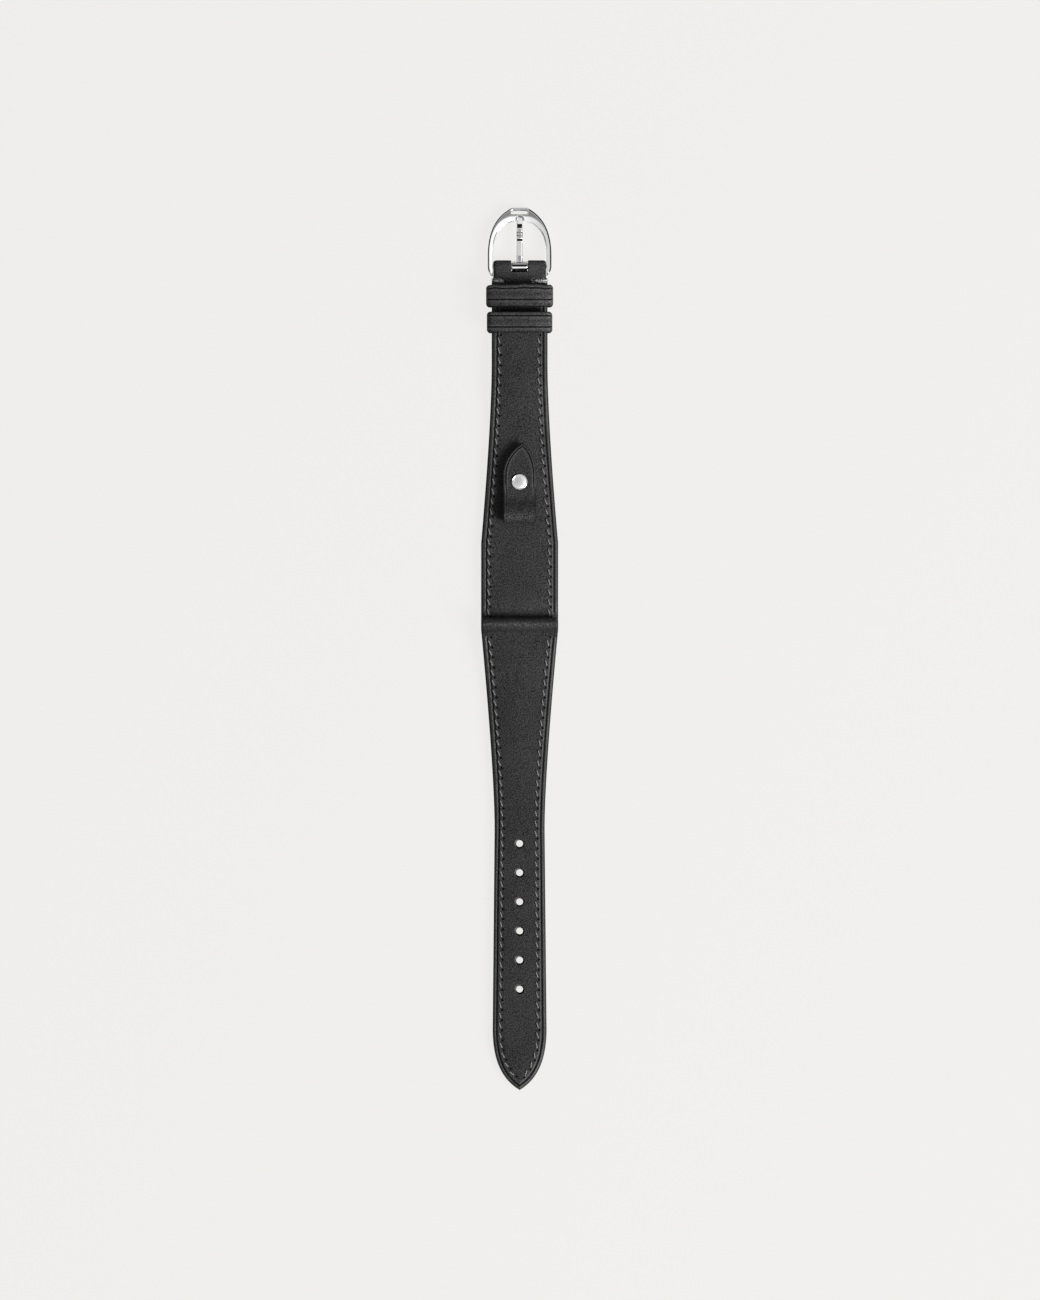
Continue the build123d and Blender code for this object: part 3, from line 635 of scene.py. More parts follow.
def seam_group(name):
    """Masks along a seam, from distances in millimetres: crease, needle holes, painted highlights on the crease's
    shoulders, paint and burnish.
    """
    marks = ["Crease", "Hole", "Highlight", "Paint", "Burnish"]
    group, given, out = new_group(name, ["Edge", "Crease", "Aside", "Along", "Pitch"], marks)
    turns = sums(group, "DIVIDE", given["Along"], given["Pitch"])
    near = product(group, from_middle(group, turns), given["Pitch"])
    apart = sums(group, "ADD", product(group, near, near), product(group, given["Aside"], given["Aside"]))
    hole = fade(group, sums(group, "SQRT", apart), *HOLE_FADE)
    hole = product(group, hole, ramp(group, given["Along"], 0.0, 0.1))
    # painted highlight: a light line on each shoulder of the crease, this far from its middle
    highlight_gap = sums(group, "ABSOLUTE", sums(group, "SUBTRACT", given["Crease"], HIGHLIGHT_ASIDE))
    beside = fade(group, given["Crease"], *BURNISH_FADE, BURNISH)
    beside = product(group, beside, ramp(group, given["Crease"], *BURNISH_START))
    masks = {
        "Crease": fade(group, given["Crease"], *CREASE_FADE),
        "Hole": hole,
        "Highlight": fade(group, highlight_gap, *HIGHLIGHT_FADE),
        "Paint": fade(group, given["Edge"], *PAINT_FADE),
        "Burnish": product(group, beside, fade(group, hole, 0.0, 0.6)),
    }
    for label, mask in masks.items():
        group.links.new(mask, out[label])
    return group


def polish_group(name):
    """Fine scratches of handling: stretched noise, as a roughness and a height."""
    group, given, out = new_group(name, ["Roughness", "Scale", "Stretch"], ["Roughness", "Height"])
    stretch = node(group, "CombineXYZ", None, {0: given["Stretch"], 1: 1.0, 2: 1.0}).outputs[0]
    pulled_inputs = {0: object_place(group), 1: stretch}
    pulled = node(group, "VectorMath", {"operation": "MULTIPLY"}, pulled_inputs).outputs[0]
    line = noise(group, pulled, given["Scale"], 4.0).outputs[0]
    more = ramp(group, line, 0.3, 0.8, 0.75, 1.35)
    group.links.new(product(group, given["Roughness"], more), out["Roughness"])
    group.links.new(line, out["Height"])
    return group


GROUPS = {"Leather grain": grain_group, "Seam masks": seam_group, "Polish": polish_group}


def new_material(name, roughness, specular=0.5, metallic=0.0):
    """A material with only its shader and output, and the shader."""
    material = bpy.data.materials.new(name)
    tree = empty_tree(material)
    inputs = {"Roughness": roughness, "Specular IOR Level": specular, "Metallic": metallic}
    shader = node(tree, "BsdfPrincipled", None, inputs)
    node(tree, "OutputMaterial", None, {0: shader.outputs[0]})
    return material, tree, shader


def raised(tree, shader, height, depth):
    """A bump of this depth in metres from a height between nil and one."""
    bumped = node(tree, "Bump", None, {"Strength": 1.0, "Distance": depth, "Height": height})
    tree.links.new(bumped.outputs[0], shader.inputs["Normal"])


def leather_material(name, colour, seamed=False, grain=0.13, roughness=None, scale=1.0):
    """Dyed leather with its grain, this deep in millimetres, and where it is seamed the seam's own marks.

    Where its painted light is above nil it is painted lighter, as a highlight, and below nil it is painted darker, as
    shade.
    """
    if name in bpy.data.materials:
        return bpy.data.materials[name]
    leather = bpy.context.scene.strap_leather
    roughness = roughness or leather.roughness
    material, tree, shader = new_material(name, roughness, leather.gloss)
    pebbled = use_group(tree, "Leather grain", {"Scale": scale / leather.pore})
    tone = grey(tree, pebbled["Tone"])
    dyed = toned(tree, colour, tone)
    height = product(tree, pebbled["Height"], grain)
    if seamed:
        lightened, blackened, shoulder_highlight, hole_depth = 2.0, 0.2, 0.3, 0.3
        worn = attribute(tree, "worn")
        given = {label: attribute(tree, label.lower()) for label in ("Edge", "Crease", "Aside", "Along")}
        given["Pitch"] = bpy.context.scene.strap_seam.pitch / MM
        masks = use_group(tree, "Seam masks", given)
        lighter = [min(1, lightened * part) for part in colour]
        # black for painted shade
        black = plain([blackened * part for part in leather.painted_edge])
        # painted highlight: mixed towards a lighter colour by the crease shoulders' highlight and by painted light
        # above nil
        painted_lightening = sums(tree, "MAXIMUM", product(tree, masks["Highlight"], shoulder_highlight), worn)
        dyed = blend_colour(tree, painted_lightening, dyed, toned(tree, lighter, tone))
        # painted shade: mixed towards black where the painted light is below nil
        dyed = blend_colour(tree, fade(tree, worn, -1.0, 0.0), dyed, black)
        dyed = blend_colour(tree, masks["Paint"], dyed, plain(leather.painted_edge))
        # painted shade: the crease groove and the needle holes painted black, with the painted shadow round each
        # punched hole
        dyed = blend_colour(tree, sums(tree, "MAXIMUM", masks["Crease"], masks["Hole"]), dyed, black)
        height = sums(tree, "MULTIPLY_ADD", masks["Hole"], -hole_depth, height)
        rough = ramp(tree, masks["Paint"], 0.0, 1.0, roughness, leather.paint_roughness)
        tree.links.new(sums(tree, "MAXIMUM", rough, masks["Hole"]), shader.inputs["Roughness"])
        tree.links.new(masks["Burnish"], shader.inputs["Coat Weight"])
        shader.inputs["Coat Roughness"].default_value = leather.burnish_roughness
    tree.links.new(dyed, shader.inputs["Base Color"])
    raised(tree, shader, height, MM)
    return material


def calf_material():
    """The face leather of the tail and the base."""
    return leather_material("calf_look", bpy.context.scene.strap_leather.face, True)


def band_material():
    """The face leather of the keepers and the tab."""
    return leather_material("band_look", bpy.context.scene.strap_leather.keeper, True)


def raw_material():
    """Cut and skived leather: a fibrous grey, painted like the face along its cut sides."""
    return leather_material("raw_look", bpy.context.scene.strap_leather.raw, True, 0.2, 0.85, 0.8)


def lining_material():
    """Matt lining calf."""
    return leather_material("lining_look", bpy.context.scene.strap_leather.lining, False, 0.06, 0.66, 1.3)


def thread_material():
    """Waxed two-ply thread: slanting plies on the stitch's own length and turn."""
    if "thread_look" in bpy.data.materials:
        return bpy.data.materials["thread_look"]
    fibre, ply_depth = 9000.0, 0.00004
    material, tree, shader = new_material("thread_look", 0.55, 0.35)
    ply = from_middle(tree, attribute(tree, "twist"))
    fuzz = noise(tree, object_place(tree), fibre).outputs[0]
    tone = sums(tree, "ADD", ramp(tree, ply, 0.0, 0.5, 0.55, 1.15), ramp(tree, fuzz, *NOISE, -0.15, 0.15))
    colour = toned(tree, bpy.context.scene.strap_seam.thread_colour, grey(tree, tone))
    tree.links.new(colour, shader.inputs["Base Color"])
    raised(tree, shader, ramp(tree, ply, 0.0, 0.5), ply_depth)
    return material


def steel_material(name, colour, roughness, stretch=1.0, depth=0.000001, scale=900.0):
    """Steel with fine handling marks, painted black as shade in the recesses that its mesh marks."""
    if name in bpy.data.materials:
        return bpy.data.materials[name]
    material, tree, shader = new_material(name, roughness, metallic=1.0)
    marks = use_group(tree, "Polish", {"Roughness": roughness, "Scale": scale, "Stretch": stretch})
    tree.links.new(marks["Roughness"], shader.inputs["Roughness"])
    dark = ramp(tree, attribute(tree, "recess"), 0.0, 1.0, 1.0, 0.02)
    tone = product(tree, ramp(tree, marks["Height"], *NOISE, 0.96, 1.0), dark)
    tree.links.new(toned(tree, colour, grey(tree, tone)), shader.inputs["Base Color"])
    raised(tree, shader, marks["Height"], depth)
    return material


def polished_steel():
    """The buckle's mirror polish."""
    steel = bpy.context.scene.strap_steel
    return steel_material("polished_look", steel.polished, steel.polish)


def plain_steel():
    """Turned and pressed steel."""
    return steel_material("plain_look", bpy.context.scene.strap_steel.plain, 0.28, 6.0, 0.000003, 2500.0)


def cap_material():
    """The snap's cap: a brushed face inside a polished rim, told apart by the distance from its middle."""
    steel = bpy.context.scene.strap_steel
    face_end, rim_start, rim_roughness, brush_depth = 1.68, 1.78, 0.12, 0.000004
    material, tree, shader = new_material("cap_look", steel.brushing, metallic=1.0)
    away = attribute(tree, "away")
    marks = use_group(tree, "Polish", {"Roughness": 1.0, "Scale": 2600.0, "Stretch": 9.0})
    rough = ramp(tree, away, face_end, rim_start, steel.brushing, rim_roughness)
    tree.links.new(product(tree, marks["Roughness"], rough), shader.inputs["Roughness"])
    colour = blend_colour(tree, ramp(tree, away, face_end, rim_start), plain(steel.brushed), plain(steel.polished))
    tree.links.new(colour, shader.inputs["Base Color"])
    raised(tree, shader, marks["Height"], brush_depth)
    return material


# ---- Leather strips

CORNER = 0.05

# Height, distance and width of what the punch leaves round a hole, and of the painted highlight on its lip, in
# millimetres from its middle
HOLE_LIP = (-0.3, 0.8, 0.3)
HOLE_SWELL = (0.06, 1.35, 0.2)
HOLE_HIGHLIGHT = (1.4, 1.15, 0.16)


def edge_profile(inset, crease_share=1.0, crease=None, size=1.0):
    """Height of the face beside its edge: a bead with its crest at 0.6 of the way, the crease, the face's shoulder.

    The bead falls by d u^1.8 from its crest, u going to 1 at the edge and at the crease.
    """
    seam = bpy.context.scene.strap_seam
    crest_share, fall = 0.6, 1.8
    crease = seam.crease_inset / MM if crease is None else crease
    depth = seam.crease_depth / MM * size * crease_share
    crest = crest_share * crease
    outer = -seam.edge_round / MM * size * np.clip(1 - inset / crest, 0, 1) ** fall
    inner = -depth * np.clip((inset - crest) / (crease - crest), 0, 1) ** fall
    beyond = inset - crease
    shoulder = depth * smooth(beyond, 0, seam.crease_width / MM * size)
    swell = seam.swell / MM * crease_share * size * bump(beyond, 0.5 * size, 0.25 * size)
    return outer + inner + np.where(beyond > 0, shoulder, 0) + swell


def crease_line(x, y):
    """How far in from the edge the hand-drawn crease runs: a smooth step along the strap moves each side's in."""
    at = bpy.context.scene.strap_seam.crease_inset / MM
    left_off, left_in, left_step = 0.02, 0.42, (-65, -25)
    right_off, right_in, right_step = 0.1, 0.12, (40, 60)
    left = at + left_off + left_in * smooth(y, *left_step)
    right = at + right_off + right_in * smooth(y, *right_step)
    return np.where(x < 0, left, right)


def across(x, half):
    """How far across a strip its points lie, from -1 at the left edge to 1 at the right, and nil at the very tip."""
    return x / np.maximum(half, 1e-6)[:, None]


def crowned(x, half):
    """The face's slight crown: full in the middle and falling away to both edges by the square of the distance."""
    crown, fall = 0.1, 0.4
    return crown - fall * across(x, half) ** 2


def hand_work(x, y, size=0.02):
    """The slight unevenness of leather: slow waves added up, each height * sin(a y + b x + c)."""
    waves = (1, 0.31, 0.4, 0), (0.6, 0.83, -0.7, 1.3), (0.4, 0.17, 1.9, 0)
    return size * sum(height * np.sin(by_y * y + by_x * x + start) for height, by_y, by_x, start in waves)


def punch(x, y, rows):
    """Rings of cells round each punched hole: squares of the grid pressed into circles.

    Returns the moved x and y, the distance from the nearest hole's middle, how far round to its upper left side a
    point lies, from -1 to 1, and which cells stay closed.
    """
    rings = np.arange(HOLE_REACH + 1)
    circle = np.interp(rings, rings[HOLE_OPEN:], RING_RADII)
    pull = np.interp(rings, rings[HOLE_OPEN:], RING_PULLS)
    far_away, least, upper_left = 9.0, 0.1, (-0.8, 0.6)
    away, turned = np.full(x.shape, far_away), np.zeros(x.shape)
    closed = np.ones((x.shape[0] - 1, x.shape[1] - 1), bool)
    middle = x.shape[1] // 2
    beside = slice(middle - HOLE_REACH, middle + HOLE_REACH + 1)
    off = np.abs(np.arange(-HOLE_REACH, HOLE_REACH + 1))
    step = np.maximum(off[:, None], off[None, :])
    share, target = pull[step], circle[step]
    for hole_y in HOLE_ROWS:
        row = int(np.argmin(np.abs(rows - hole_y)))
        near = slice(row - HOLE_REACH, row + HOLE_REACH + 1), beside
        dx, dy = x[near], y[near] - hole_y
        reach = np.hypot(dx, dy) + 1e-9
        x[near] = share * dx / reach * target + (1 - share) * dx
        y[near] = hole_y + share * dy / reach * target + (1 - share) * dy
        dx, dy = x[near], y[near] - hole_y
        away[near] = reach = np.hypot(dx, dy)
        turned[near] = (upper_left[1] * dy + upper_left[0] * dx) / reach.clip(least)
        closed[row - HOLE_OPEN : row + HOLE_OPEN, middle - HOLE_OPEN : middle + HOLE_OPEN] = False
    return x, y, away, turned, closed


def tail_rows():
    """Places along the tail for its ribs: by edge length round the tip, then even, and exact at the holes."""
    before_holes, tip_ribs, ribs_before, ribs_after = 10, 70, 22, 50
    tip = even(EDGE[EDGE[:, 0] < HOLE_ROWS[0] - before_holes], tip_ribs)[:, 0]
    last = (HOLE_COUNT - 1) * HOLE_CELLS + HOLE_REACH
    holes = np.arange(-HOLE_REACH, last + 1) * HOLE_STEP + HOLE_ROWS[0]
    before = np.linspace(tip[-1], holes[0], ribs_before)[1:-1]
    return np.concatenate([tip, before, holes, np.linspace(holes[-1], CLIMB_Y, ribs_after)[1:]])


def row_line(y, row, place):
    """The line of stitches on the right, set in from the edge by this much: x, and place along the route."""
    slope = edge_slope(y)
    lean = 1 / np.sqrt(1 + slope**2)
    return np.stack([half_width(y) - row * lean, place + row * slope * lean], 1)


def seam_length(y, row, place):
    """How far along the line of stitches each place of the edge is, from the middle of the tip."""
    line = row_line(y, row, place)
    far = lengths(line)
    start = np.interp(0, line[:, 0], far) if line[0, 0] < 0 else 0
    return far - start


def ramp_line(drop=0.0):
    """The tail's line from its level up to the back of the fold, this far below its face: a Bezier curve."""
    lean = np.radians(FOLD_LEAN)
    back = (FOLD_Y - FOLD_RADIUS * np.sin(lean), FOLD_Z + FOLD_RADIUS * np.cos(lean) - drop)
    valley = (back[0] - VALLEY_PULL * np.cos(lean), back[1] - VALLEY_PULL * np.sin(lean))
    return bezier([(CLIMB_Y, TAIL_TOP - drop), (CLIMB_PULL_Y, TAIL_TOP - drop), valley, back])


def rise_line(z):
    """The base's smooth step up over the keepers' lower legs, at this height: z + rise (3t^2 - 2t^3)."""
    y = np.linspace(RISE_START_Y, RISE_END_Y, 120)
    return np.stack([y, z + RISE * smooth(y, RISE_START_Y, RISE_END_Y)], 1)


def seam_values(edge, crease, share=1.0, aside=None, far=None, worn=0.0):
    """What the leather's material reads at every point: its distances from the edge, the crease and the stitches, and
    its painted light and shade.
    """
    crease = np.abs(crease) + 2 * (1 - share)
    worn = np.broadcast_to(worn, edge.shape)
    aside = edge if aside is None else aside
    far = np.full(edge.shape, -1.0) if far is None else far
    return dict(zip(("edge", "crease", "aside", "along", "worn"), twice(edge, crease, aside, far, worn)))


def aside_row(x, inset, row):
    """How far to the right of its row's needle holes a point lies."""
    hole_aside = bpy.context.scene.strap_seam.hole_aside / MM
    return np.where(x < 0, -1, 1) * (row - inset) - hole_aside


class STRAP_OT_lining(bpy.types.Operator):
    """Makes the lining, one piece from the tip to the turned-under end, with the punched holes"""

    bl_idname = "strap.lining"
    bl_label = "Lining"

    def execute(self, context):
        lip, corner, waves, ribs = (0.12, 0.88, 0.14), 0.3, 0.01, 150
        route = Route([(TIP_Y, LINING)], rise_line(LINING), [(TURNED_UNDER_Y, LINING + RISE)])
        flat = tail_rows() - TIP_Y
        places = np.concatenate([flat, np.linspace(flat[-1], route.end, ribs)[1:]])
        y_edge, _ = route.at(places)
        half = half_width(np.minimum(y_edge, KNUCKLE_Y - 1))
        x, place, inset = strip_grid(places, half, edge_slope(y_edge), PLAIN_BAND, HOLE_COLUMNS)
        x, moved, away, _, keep = punch(x, place + TIP_Y, places + TIP_Y)
        place = moved - TIP_Y
        outer = lay(route, x, place, -rounding(inset, CORNER))
        inner = lay(route, x, place, rounding(inset, corner) + ridge(away, *lip) + hand_work(x, place, waves) - LINING)
        inner[..., 2] = np.maximum(inner[..., 2], 0)
        make_piece("lining_calf", *shell(outer, inner, keep), lining_material())
        return {"FINISHED"}


class STRAP_OT_tail(bpy.types.Operator):
    """Makes the tail's face leather, with the fold, the crease and the punched holes, and its filler"""

    bl_idname = "strap.tail"
    bl_label = "Tail"

    def execute(self, context):
        row = context.scene.strap_seam.tail_row / MM
        ribs, roll_start, light, crease_fade, crown_fade = 170, FOLD_Y - 1, 0.08, 1, 4
        roll = arc((FOLD_Y, FOLD_Z), FOLD_RADIUS, 90 + FOLD_LEAN, -90, 120)
        route = Route([(TIP_Y, TAIL_TOP)], ramp_line(), roll, [(LAP_Y, FOLD_SEAT)])
        flat = tail_rows() - TIP_Y
        places = np.concatenate([flat, np.linspace(flat[-1], route.end, ribs)[1:]])
        y_edge, _ = route.at(places)
        rolled = places > route.place(roll_start)
        half = half_width(y_edge)
        x, place, inset = strip_grid(places, half, np.where(rolled, 0.0, edge_slope(y_edge)), BAND, HOLE_COLUMNS)
        x, moved, away, turned, keep = punch(x, place + TIP_Y, places + TIP_Y)
        place = moved - TIP_Y
        creased, flat_share = (
            np.broadcast_to((~rolled * (1 - smooth(y_edge, CREASE_END_Y - before, CREASE_END_Y)))[:, None], x.shape)
            for before in (crease_fade, crown_fade)
        )
        crease = crease_line(x, place + TIP_Y)
        waves = (crowned(x, half) + hand_work(x, place)) * flat_share
        lip = ridge(away, *HOLE_LIP) + ridge(away, *HOLE_SWELL)
        lift = edge_profile(inset, creased, crease) + lip + waves
        outer = lay(route, x, place, lift)
        inner = lay(route, x, place, rounding(inset, CORNER) - TAIL_FACE)
        far = np.where(rolled | (y_edge > CREASE_END_Y), -1.0, seam_length(y_edge, row, y_edge))
        far = np.broadcast_to(far[:, None], x.shape)
        # painted light: the face also a little lighter towards the right, where the lamp stands
        worn = self.worn(away, turned, place - route.place(FOLD_Y)) + light * across(x, half)
        # painted shadow and highlight round each punched hole, carried on the crease distance
        crease = np.minimum(np.abs(inset - crease), self.hole_shade(away, turned))
        values = seam_values(inset, crease, creased, aside_row(x, inset, row), far, worn)
        make_piece("face_leather_tail", *shell(outer, inner, keep), calf_material(), values)
        self.filler()
        return {"FINISHED"}

    def hole_shade(self, away, turned):
        """The painted shadow round a hole and the painted highlight at its upper left, as a distance from a crease:
        near nil at the rim, less so at its upper left.
        """
        soft, none, rim, edge, drawn_in = 0.2, 9, 1.05, 1.4, 0.15
        ring = soft * smooth(away, rim, edge - drawn_in * turned)
        lit = soft * smooth(turned, 0.1, 0.5)
        gone = none * smooth(away, edge - 0.05, edge + 0.1)
        return ring + lit + gone

    def worn(self, away, turned, past_fold):
        """Painted highlights on the holes' upper left lips and along the fold's crest, and painted shade in the valley
        before it.
        """
        crest, valley = (1.0, 0, 0.5), (0.4, -1.9, 0.7)
        painted_lightening = ridge(away, *HOLE_HIGHLIGHT) * smooth(turned, 0.1, 0.6)
        return painted_lightening + (ridge(past_fold, *crest) - ridge(past_fold, *valley))

    def filler(self):
        """The filler from the side: level along the tail, a wedge under the fold, hollow round the tunnel."""
        tunnel, least, set_in = 14, 0.01, 0.04
        over = np.concatenate([ramp_line(TAIL_FACE), arc((FOLD_Y, FOLD_Z), TUNNEL_RADIUS, 90 + FOLD_LEAN, 180, tunnel)])
        flat = tail_rows()
        top = np.concatenate([np.stack([flat, np.full(flat.shape, LINING + FILLER)], 1), even(over, 80)[1:]])
        bottom_y = np.minimum(top[:, 0], FOLD_Y)
        under = np.where(bottom_y < LAP_Y, LINING, FOLD_SEAT + TAIL_FACE)
        turned = top[:, 1] < np.interp(np.arange(len(top)), [len(top) - tunnel, len(top)], [0, 9])
        bottom = np.stack([bottom_y, np.where(turned, np.minimum(under, top[:, 1] - least), under)], 1)
        bottom = np.minimum(bottom, top - (0, least))
        half = half_width(bottom_y) - set_in
        share, inmost = np.concatenate([[1, 0.97, 0.9], np.linspace(0.8, 0.3, 4)]), 0.27
        inner_columns = np.minimum(HOLE_COLUMNS[None], half[:, None] * inmost)
        right = np.concatenate([half[:, None] * share, inner_columns], 1)
        x = mirrored(right, -1)
        y = np.broadcast_to(top[:, :1], x.shape).copy()
        x, y, _, _, keep = punch(x, y, top[:, 0])
        outer = np.stack([x, y, np.broadcast_to(top[:, 1:], x.shape)], -1)
        inner = np.stack([x, y + (bottom[:, :1] - top[:, :1]), np.broadcast_to(bottom[:, 1:], x.shape)], -1)
        values = seam_values(half[:, None] - np.abs(x), x, 0.0)
        make_piece("filler_tail", *shell(outer, inner, keep), raw_material(), values)


class STRAP_OT_base(bpy.types.Operator):
    """Makes the base's face leather, rolled round the buckle's bar and turned under, and its filler"""

    bl_idname = "strap.base"
    bl_label = "Base"

    def execute(self, context):
        row = context.scene.strap_seam.base_row / MM
        skive = [(LAP_Y, FOLD_SEAT), (SKIVE_Y, FOLD_SEAT), (SKIVE_END_Y, BASE_TOP)]
        roll = arc((BAR_Y, BAR_Z), ROLL_RADIUS, 90, -90, 90)
        taper = [(ROLL_TAPER_Y, BASE_TOP + RISE)]
        route = Route(skive, rise_line(BASE_TOP), taper, roll, [(TURNED_UNDER_Y, RISE)])
        slot_front, slot_back, slot_lip = 1.56, 1.45, (-0.12, SLOT_HALF, 0.12)
        slot_start = route.place(BAR_Y - slot_front)
        roll_end = route.place(BAR_Y) + np.pi * ROLL_RADIUS
        slot_end = roll_end + slot_back
        knuckle, notch = route.place(KNUCKLE_Y), route.place(NOTCH_BACK_Y)
        runs = [
            np.linspace(0, notch - 3, 150)[:-1],
            np.linspace(notch - 3, notch, 10)[:-1],
            np.linspace(notch, knuckle, 13),
            np.linspace(knuckle + 0.05, slot_start, 12),
            np.linspace(slot_start, slot_end, 61)[1:],
            np.linspace(slot_end, route.end, 20)[1:],
        ]
        places = np.concatenate(runs)
        y_edge, _ = route.at(places)
        half = half_width(np.where(places > slot_start, np.minimum(y_edge, BAR_Y), y_edge))
        slope = np.where(places > knuckle - 2, 0.0, edge_slope(y_edge))
        x, place, inset = strip_grid(places, half, slope, BAND, SLOT_COLUMNS, 8)
        creased = smooth(y_edge, FOLD_Y + 1.5, FOLD_Y + 3) * (1 - smooth(places, notch - 1.5, notch - 0.3))
        share = np.broadcast_to(creased[:, None], x.shape)
        x, inset, keep = self.notches(x, inset, places, y_edge, notch, knuckle, half)
        slot_rows = (places[:-1] >= slot_start - 1e-6) & (places[1:] <= slot_end - 0.25)
        first, second = (np.abs(part[:, :-1] + part[:, 1:]) / 2 < SLOT_HALF for part in (x[:-1], x[1:]))
        keep &= ~(slot_rows[:, None] & first & second)
        in_slot = (places > slot_start - 0.4) & (places < slot_end)
        beside_slot = ridge(np.abs(x), *slot_lip) * in_slot[:, None]
        y = route.at(place)[0]
        crease = crease_line(x, y)
        waves = (crowned(x, half) + hand_work(x, place)) * share
        outer = lay(route, x, place, edge_profile(inset, share, crease) + beside_slot + self.slit(x, y) + waves)
        thick_at = [*(route.place(spot) for spot in (SKIVE_Y, SKIVE_END_Y, BAR_Y - 3, BAR_Y)), roll_end, roll_end + 2]
        skived, rolled_face, turned_under = BASE_FACE - SKIVE, 0.67, 0.8
        thick = [skived, BASE_FACE, BASE_FACE, rolled_face, rolled_face, turned_under]
        inner = lay(route, x, place, rounding(inset, CORNER) - np.interp(places, thick_at, thick)[:, None])
        far = seam_length(y_edge, row, places)
        ahead = slice(len(places) // 2)
        far = far - np.interp(BASE_SEAM_Y, y_edge[ahead], far[ahead])
        far = np.where(places < route.place(ROLL_TAPER_Y), np.maximum(far, -1.0), -1.0)
        far = np.broadcast_to(far[:, None], x.shape)
        rolled = smooth(place, knuckle - 1, knuckle + 1)
        # painted light: the whole base a little lighter, a painted highlight over the roll at the knuckles, and lighter
        # towards the right, where the lamp stands
        painted_lightening, roll_highlight, light, lighter = 0.2, 0.35, 0.12, 0.15
        worn = painted_lightening + roll_highlight * rolled + (light + lighter * rolled) * across(x, half)
        values = seam_values(inset, inset - crease, share, aside_row(x, inset, row), far, worn)
        make_piece("face_leather_base", *shell(outer, inner, keep), calf_material(), values)
        self.filler()
        return {"FINISHED"}

    def slit(self, x, y):
        """The knife's overrun from the left notch towards the keeper: a narrow furrow with a raised lip beside it."""
        start, end = np.array([-4.25, NOTCH_BACK_Y + 0.95]), np.array([-2.7, NOTCH_BACK_Y - 0.7])
        lip, furrow = (0.08, -0.3, 0.16), (-0.22, 0, 0.15)
        run = unit(end - start)
        ahead = (x - start[0]) * run[0] + (y - start[1]) * run[1]
        beside = (x - start[0]) * -run[1] + (y - start[1]) * run[0]
        return plateau(ahead, -0.1, 0.2, 2.0, 2.4) * (ridge(beside, *lip) + ridge(beside, *furrow))

    def notches(self, x, inset, places, y_edge, notch, knuckle, half):
        """Opens the two notches: a slanting end at the left, a round end at the right.

        In their rows one column on each side is pulled to the notch's end, and its neighbours follow in proportion.
        """
        rows = (places >= notch - 1e-6) & (places <= knuckle + 1e-6)
        cells = rows[:-1] & rows[1:]
        run = np.clip((y_edge - NOTCH_BACK_Y) / (KNUCKLE_Y - NOTCH_BACK_Y), 0, 1)
        round_radius, round_x, slant_x, slant_run = NOTCH_WIDTH / 2, 3.625, 3.15, 1.2
        slant = slant_x + slant_run * run
        round_end = round_x - np.sqrt(np.clip(round_radius**2 - ((run - 0.5) * NOTCH_WIDTH) ** 2, 0, None))
        keep = np.ones((x.shape[0] - 1, x.shape[1] - 1), bool)
        middle = x.shape[1] // 2
        count = len(BAND) - 1
        for side, end in ((-1, slant), (1, round_end)):
            at = count if side < 0 else x.shape[1] - 1 - count
            part = slice(0, middle + 1) if side < 0 else slice(middle, None)
            for row in np.flatnonzero(rows):
                old, new = [0, abs(x[row, at]), half[row]], [0, end[row], half[row]]
                x[row, part] = side * np.interp(np.abs(x[row, part]), old, new)
            keep[cells, slice(0, at) if side < 0 else slice(at, None)] = False
        inset = np.where(rows[:, None], half[:, None] - np.abs(x), inset)
        return x, inset, keep

    def filler(self):
        """The filler of the base: level, up the rise, thicker towards the bar's roll and frayed in the notches."""
        front_y, front_z, front_thick, set_in = BAR_Y - 2.1, 3.007, 1.12, 0.04
        top = [(LAP_Y, LINING + FILLER)], rise_line(LINING + FILLER), [(ROLL_TAPER_Y, LINING + FILLER + RISE)]
        route = Route(*top, [(front_y, front_z)])
        fine = route.place(NOTCH_BACK_Y) + np.linspace(-0.3, NOTCH_WIDTH + 0.3, 30)
        places = np.union1d(np.linspace(0, route.end, 170), fine)
        y_edge, _ = route.at(places)
        half = half_width(y_edge) - set_in
        x, place, inset = strip_grid(places, half, 0 * half, PLAIN_BAND, PLAIN_COLUMNS)
        thick = np.interp(y_edge, [ROLL_TAPER_Y, front_y], [FILLER, front_thick])[:, None]
        frayed, bulged, bulged_from, near, far = 0.03, 0.75, (3.4, 4.2), 0.05, 0.4
        fray = frayed * np.sin(9.0 * place + 5.0 * x) * np.sin(7.0 * x - 3.0 * place)
        y = route.at(place)[0]
        in_notch = plateau(y, NOTCH_BACK_Y + near, NOTCH_BACK_Y + far, KNUCKLE_Y - far, KNUCKLE_Y - near)
        bulge = bulged * in_notch * smooth(np.abs(x), *bulged_from)
        outer = lay(route, x, place, fray + bulge - rounding(inset, CORNER + 0.3 * in_notch))
        inner = lay(route, x, place, rounding(inset, CORNER) - thick)
        # painted light: the raw leather in the notches painted lighter against the shade there
        values = seam_values(inset + in_notch, inset, 0.0, worn=0.5 * in_notch)
        make_piece("filler_base", *shell(outer, inner), raw_material(), values)


# ---- Keepers and tab


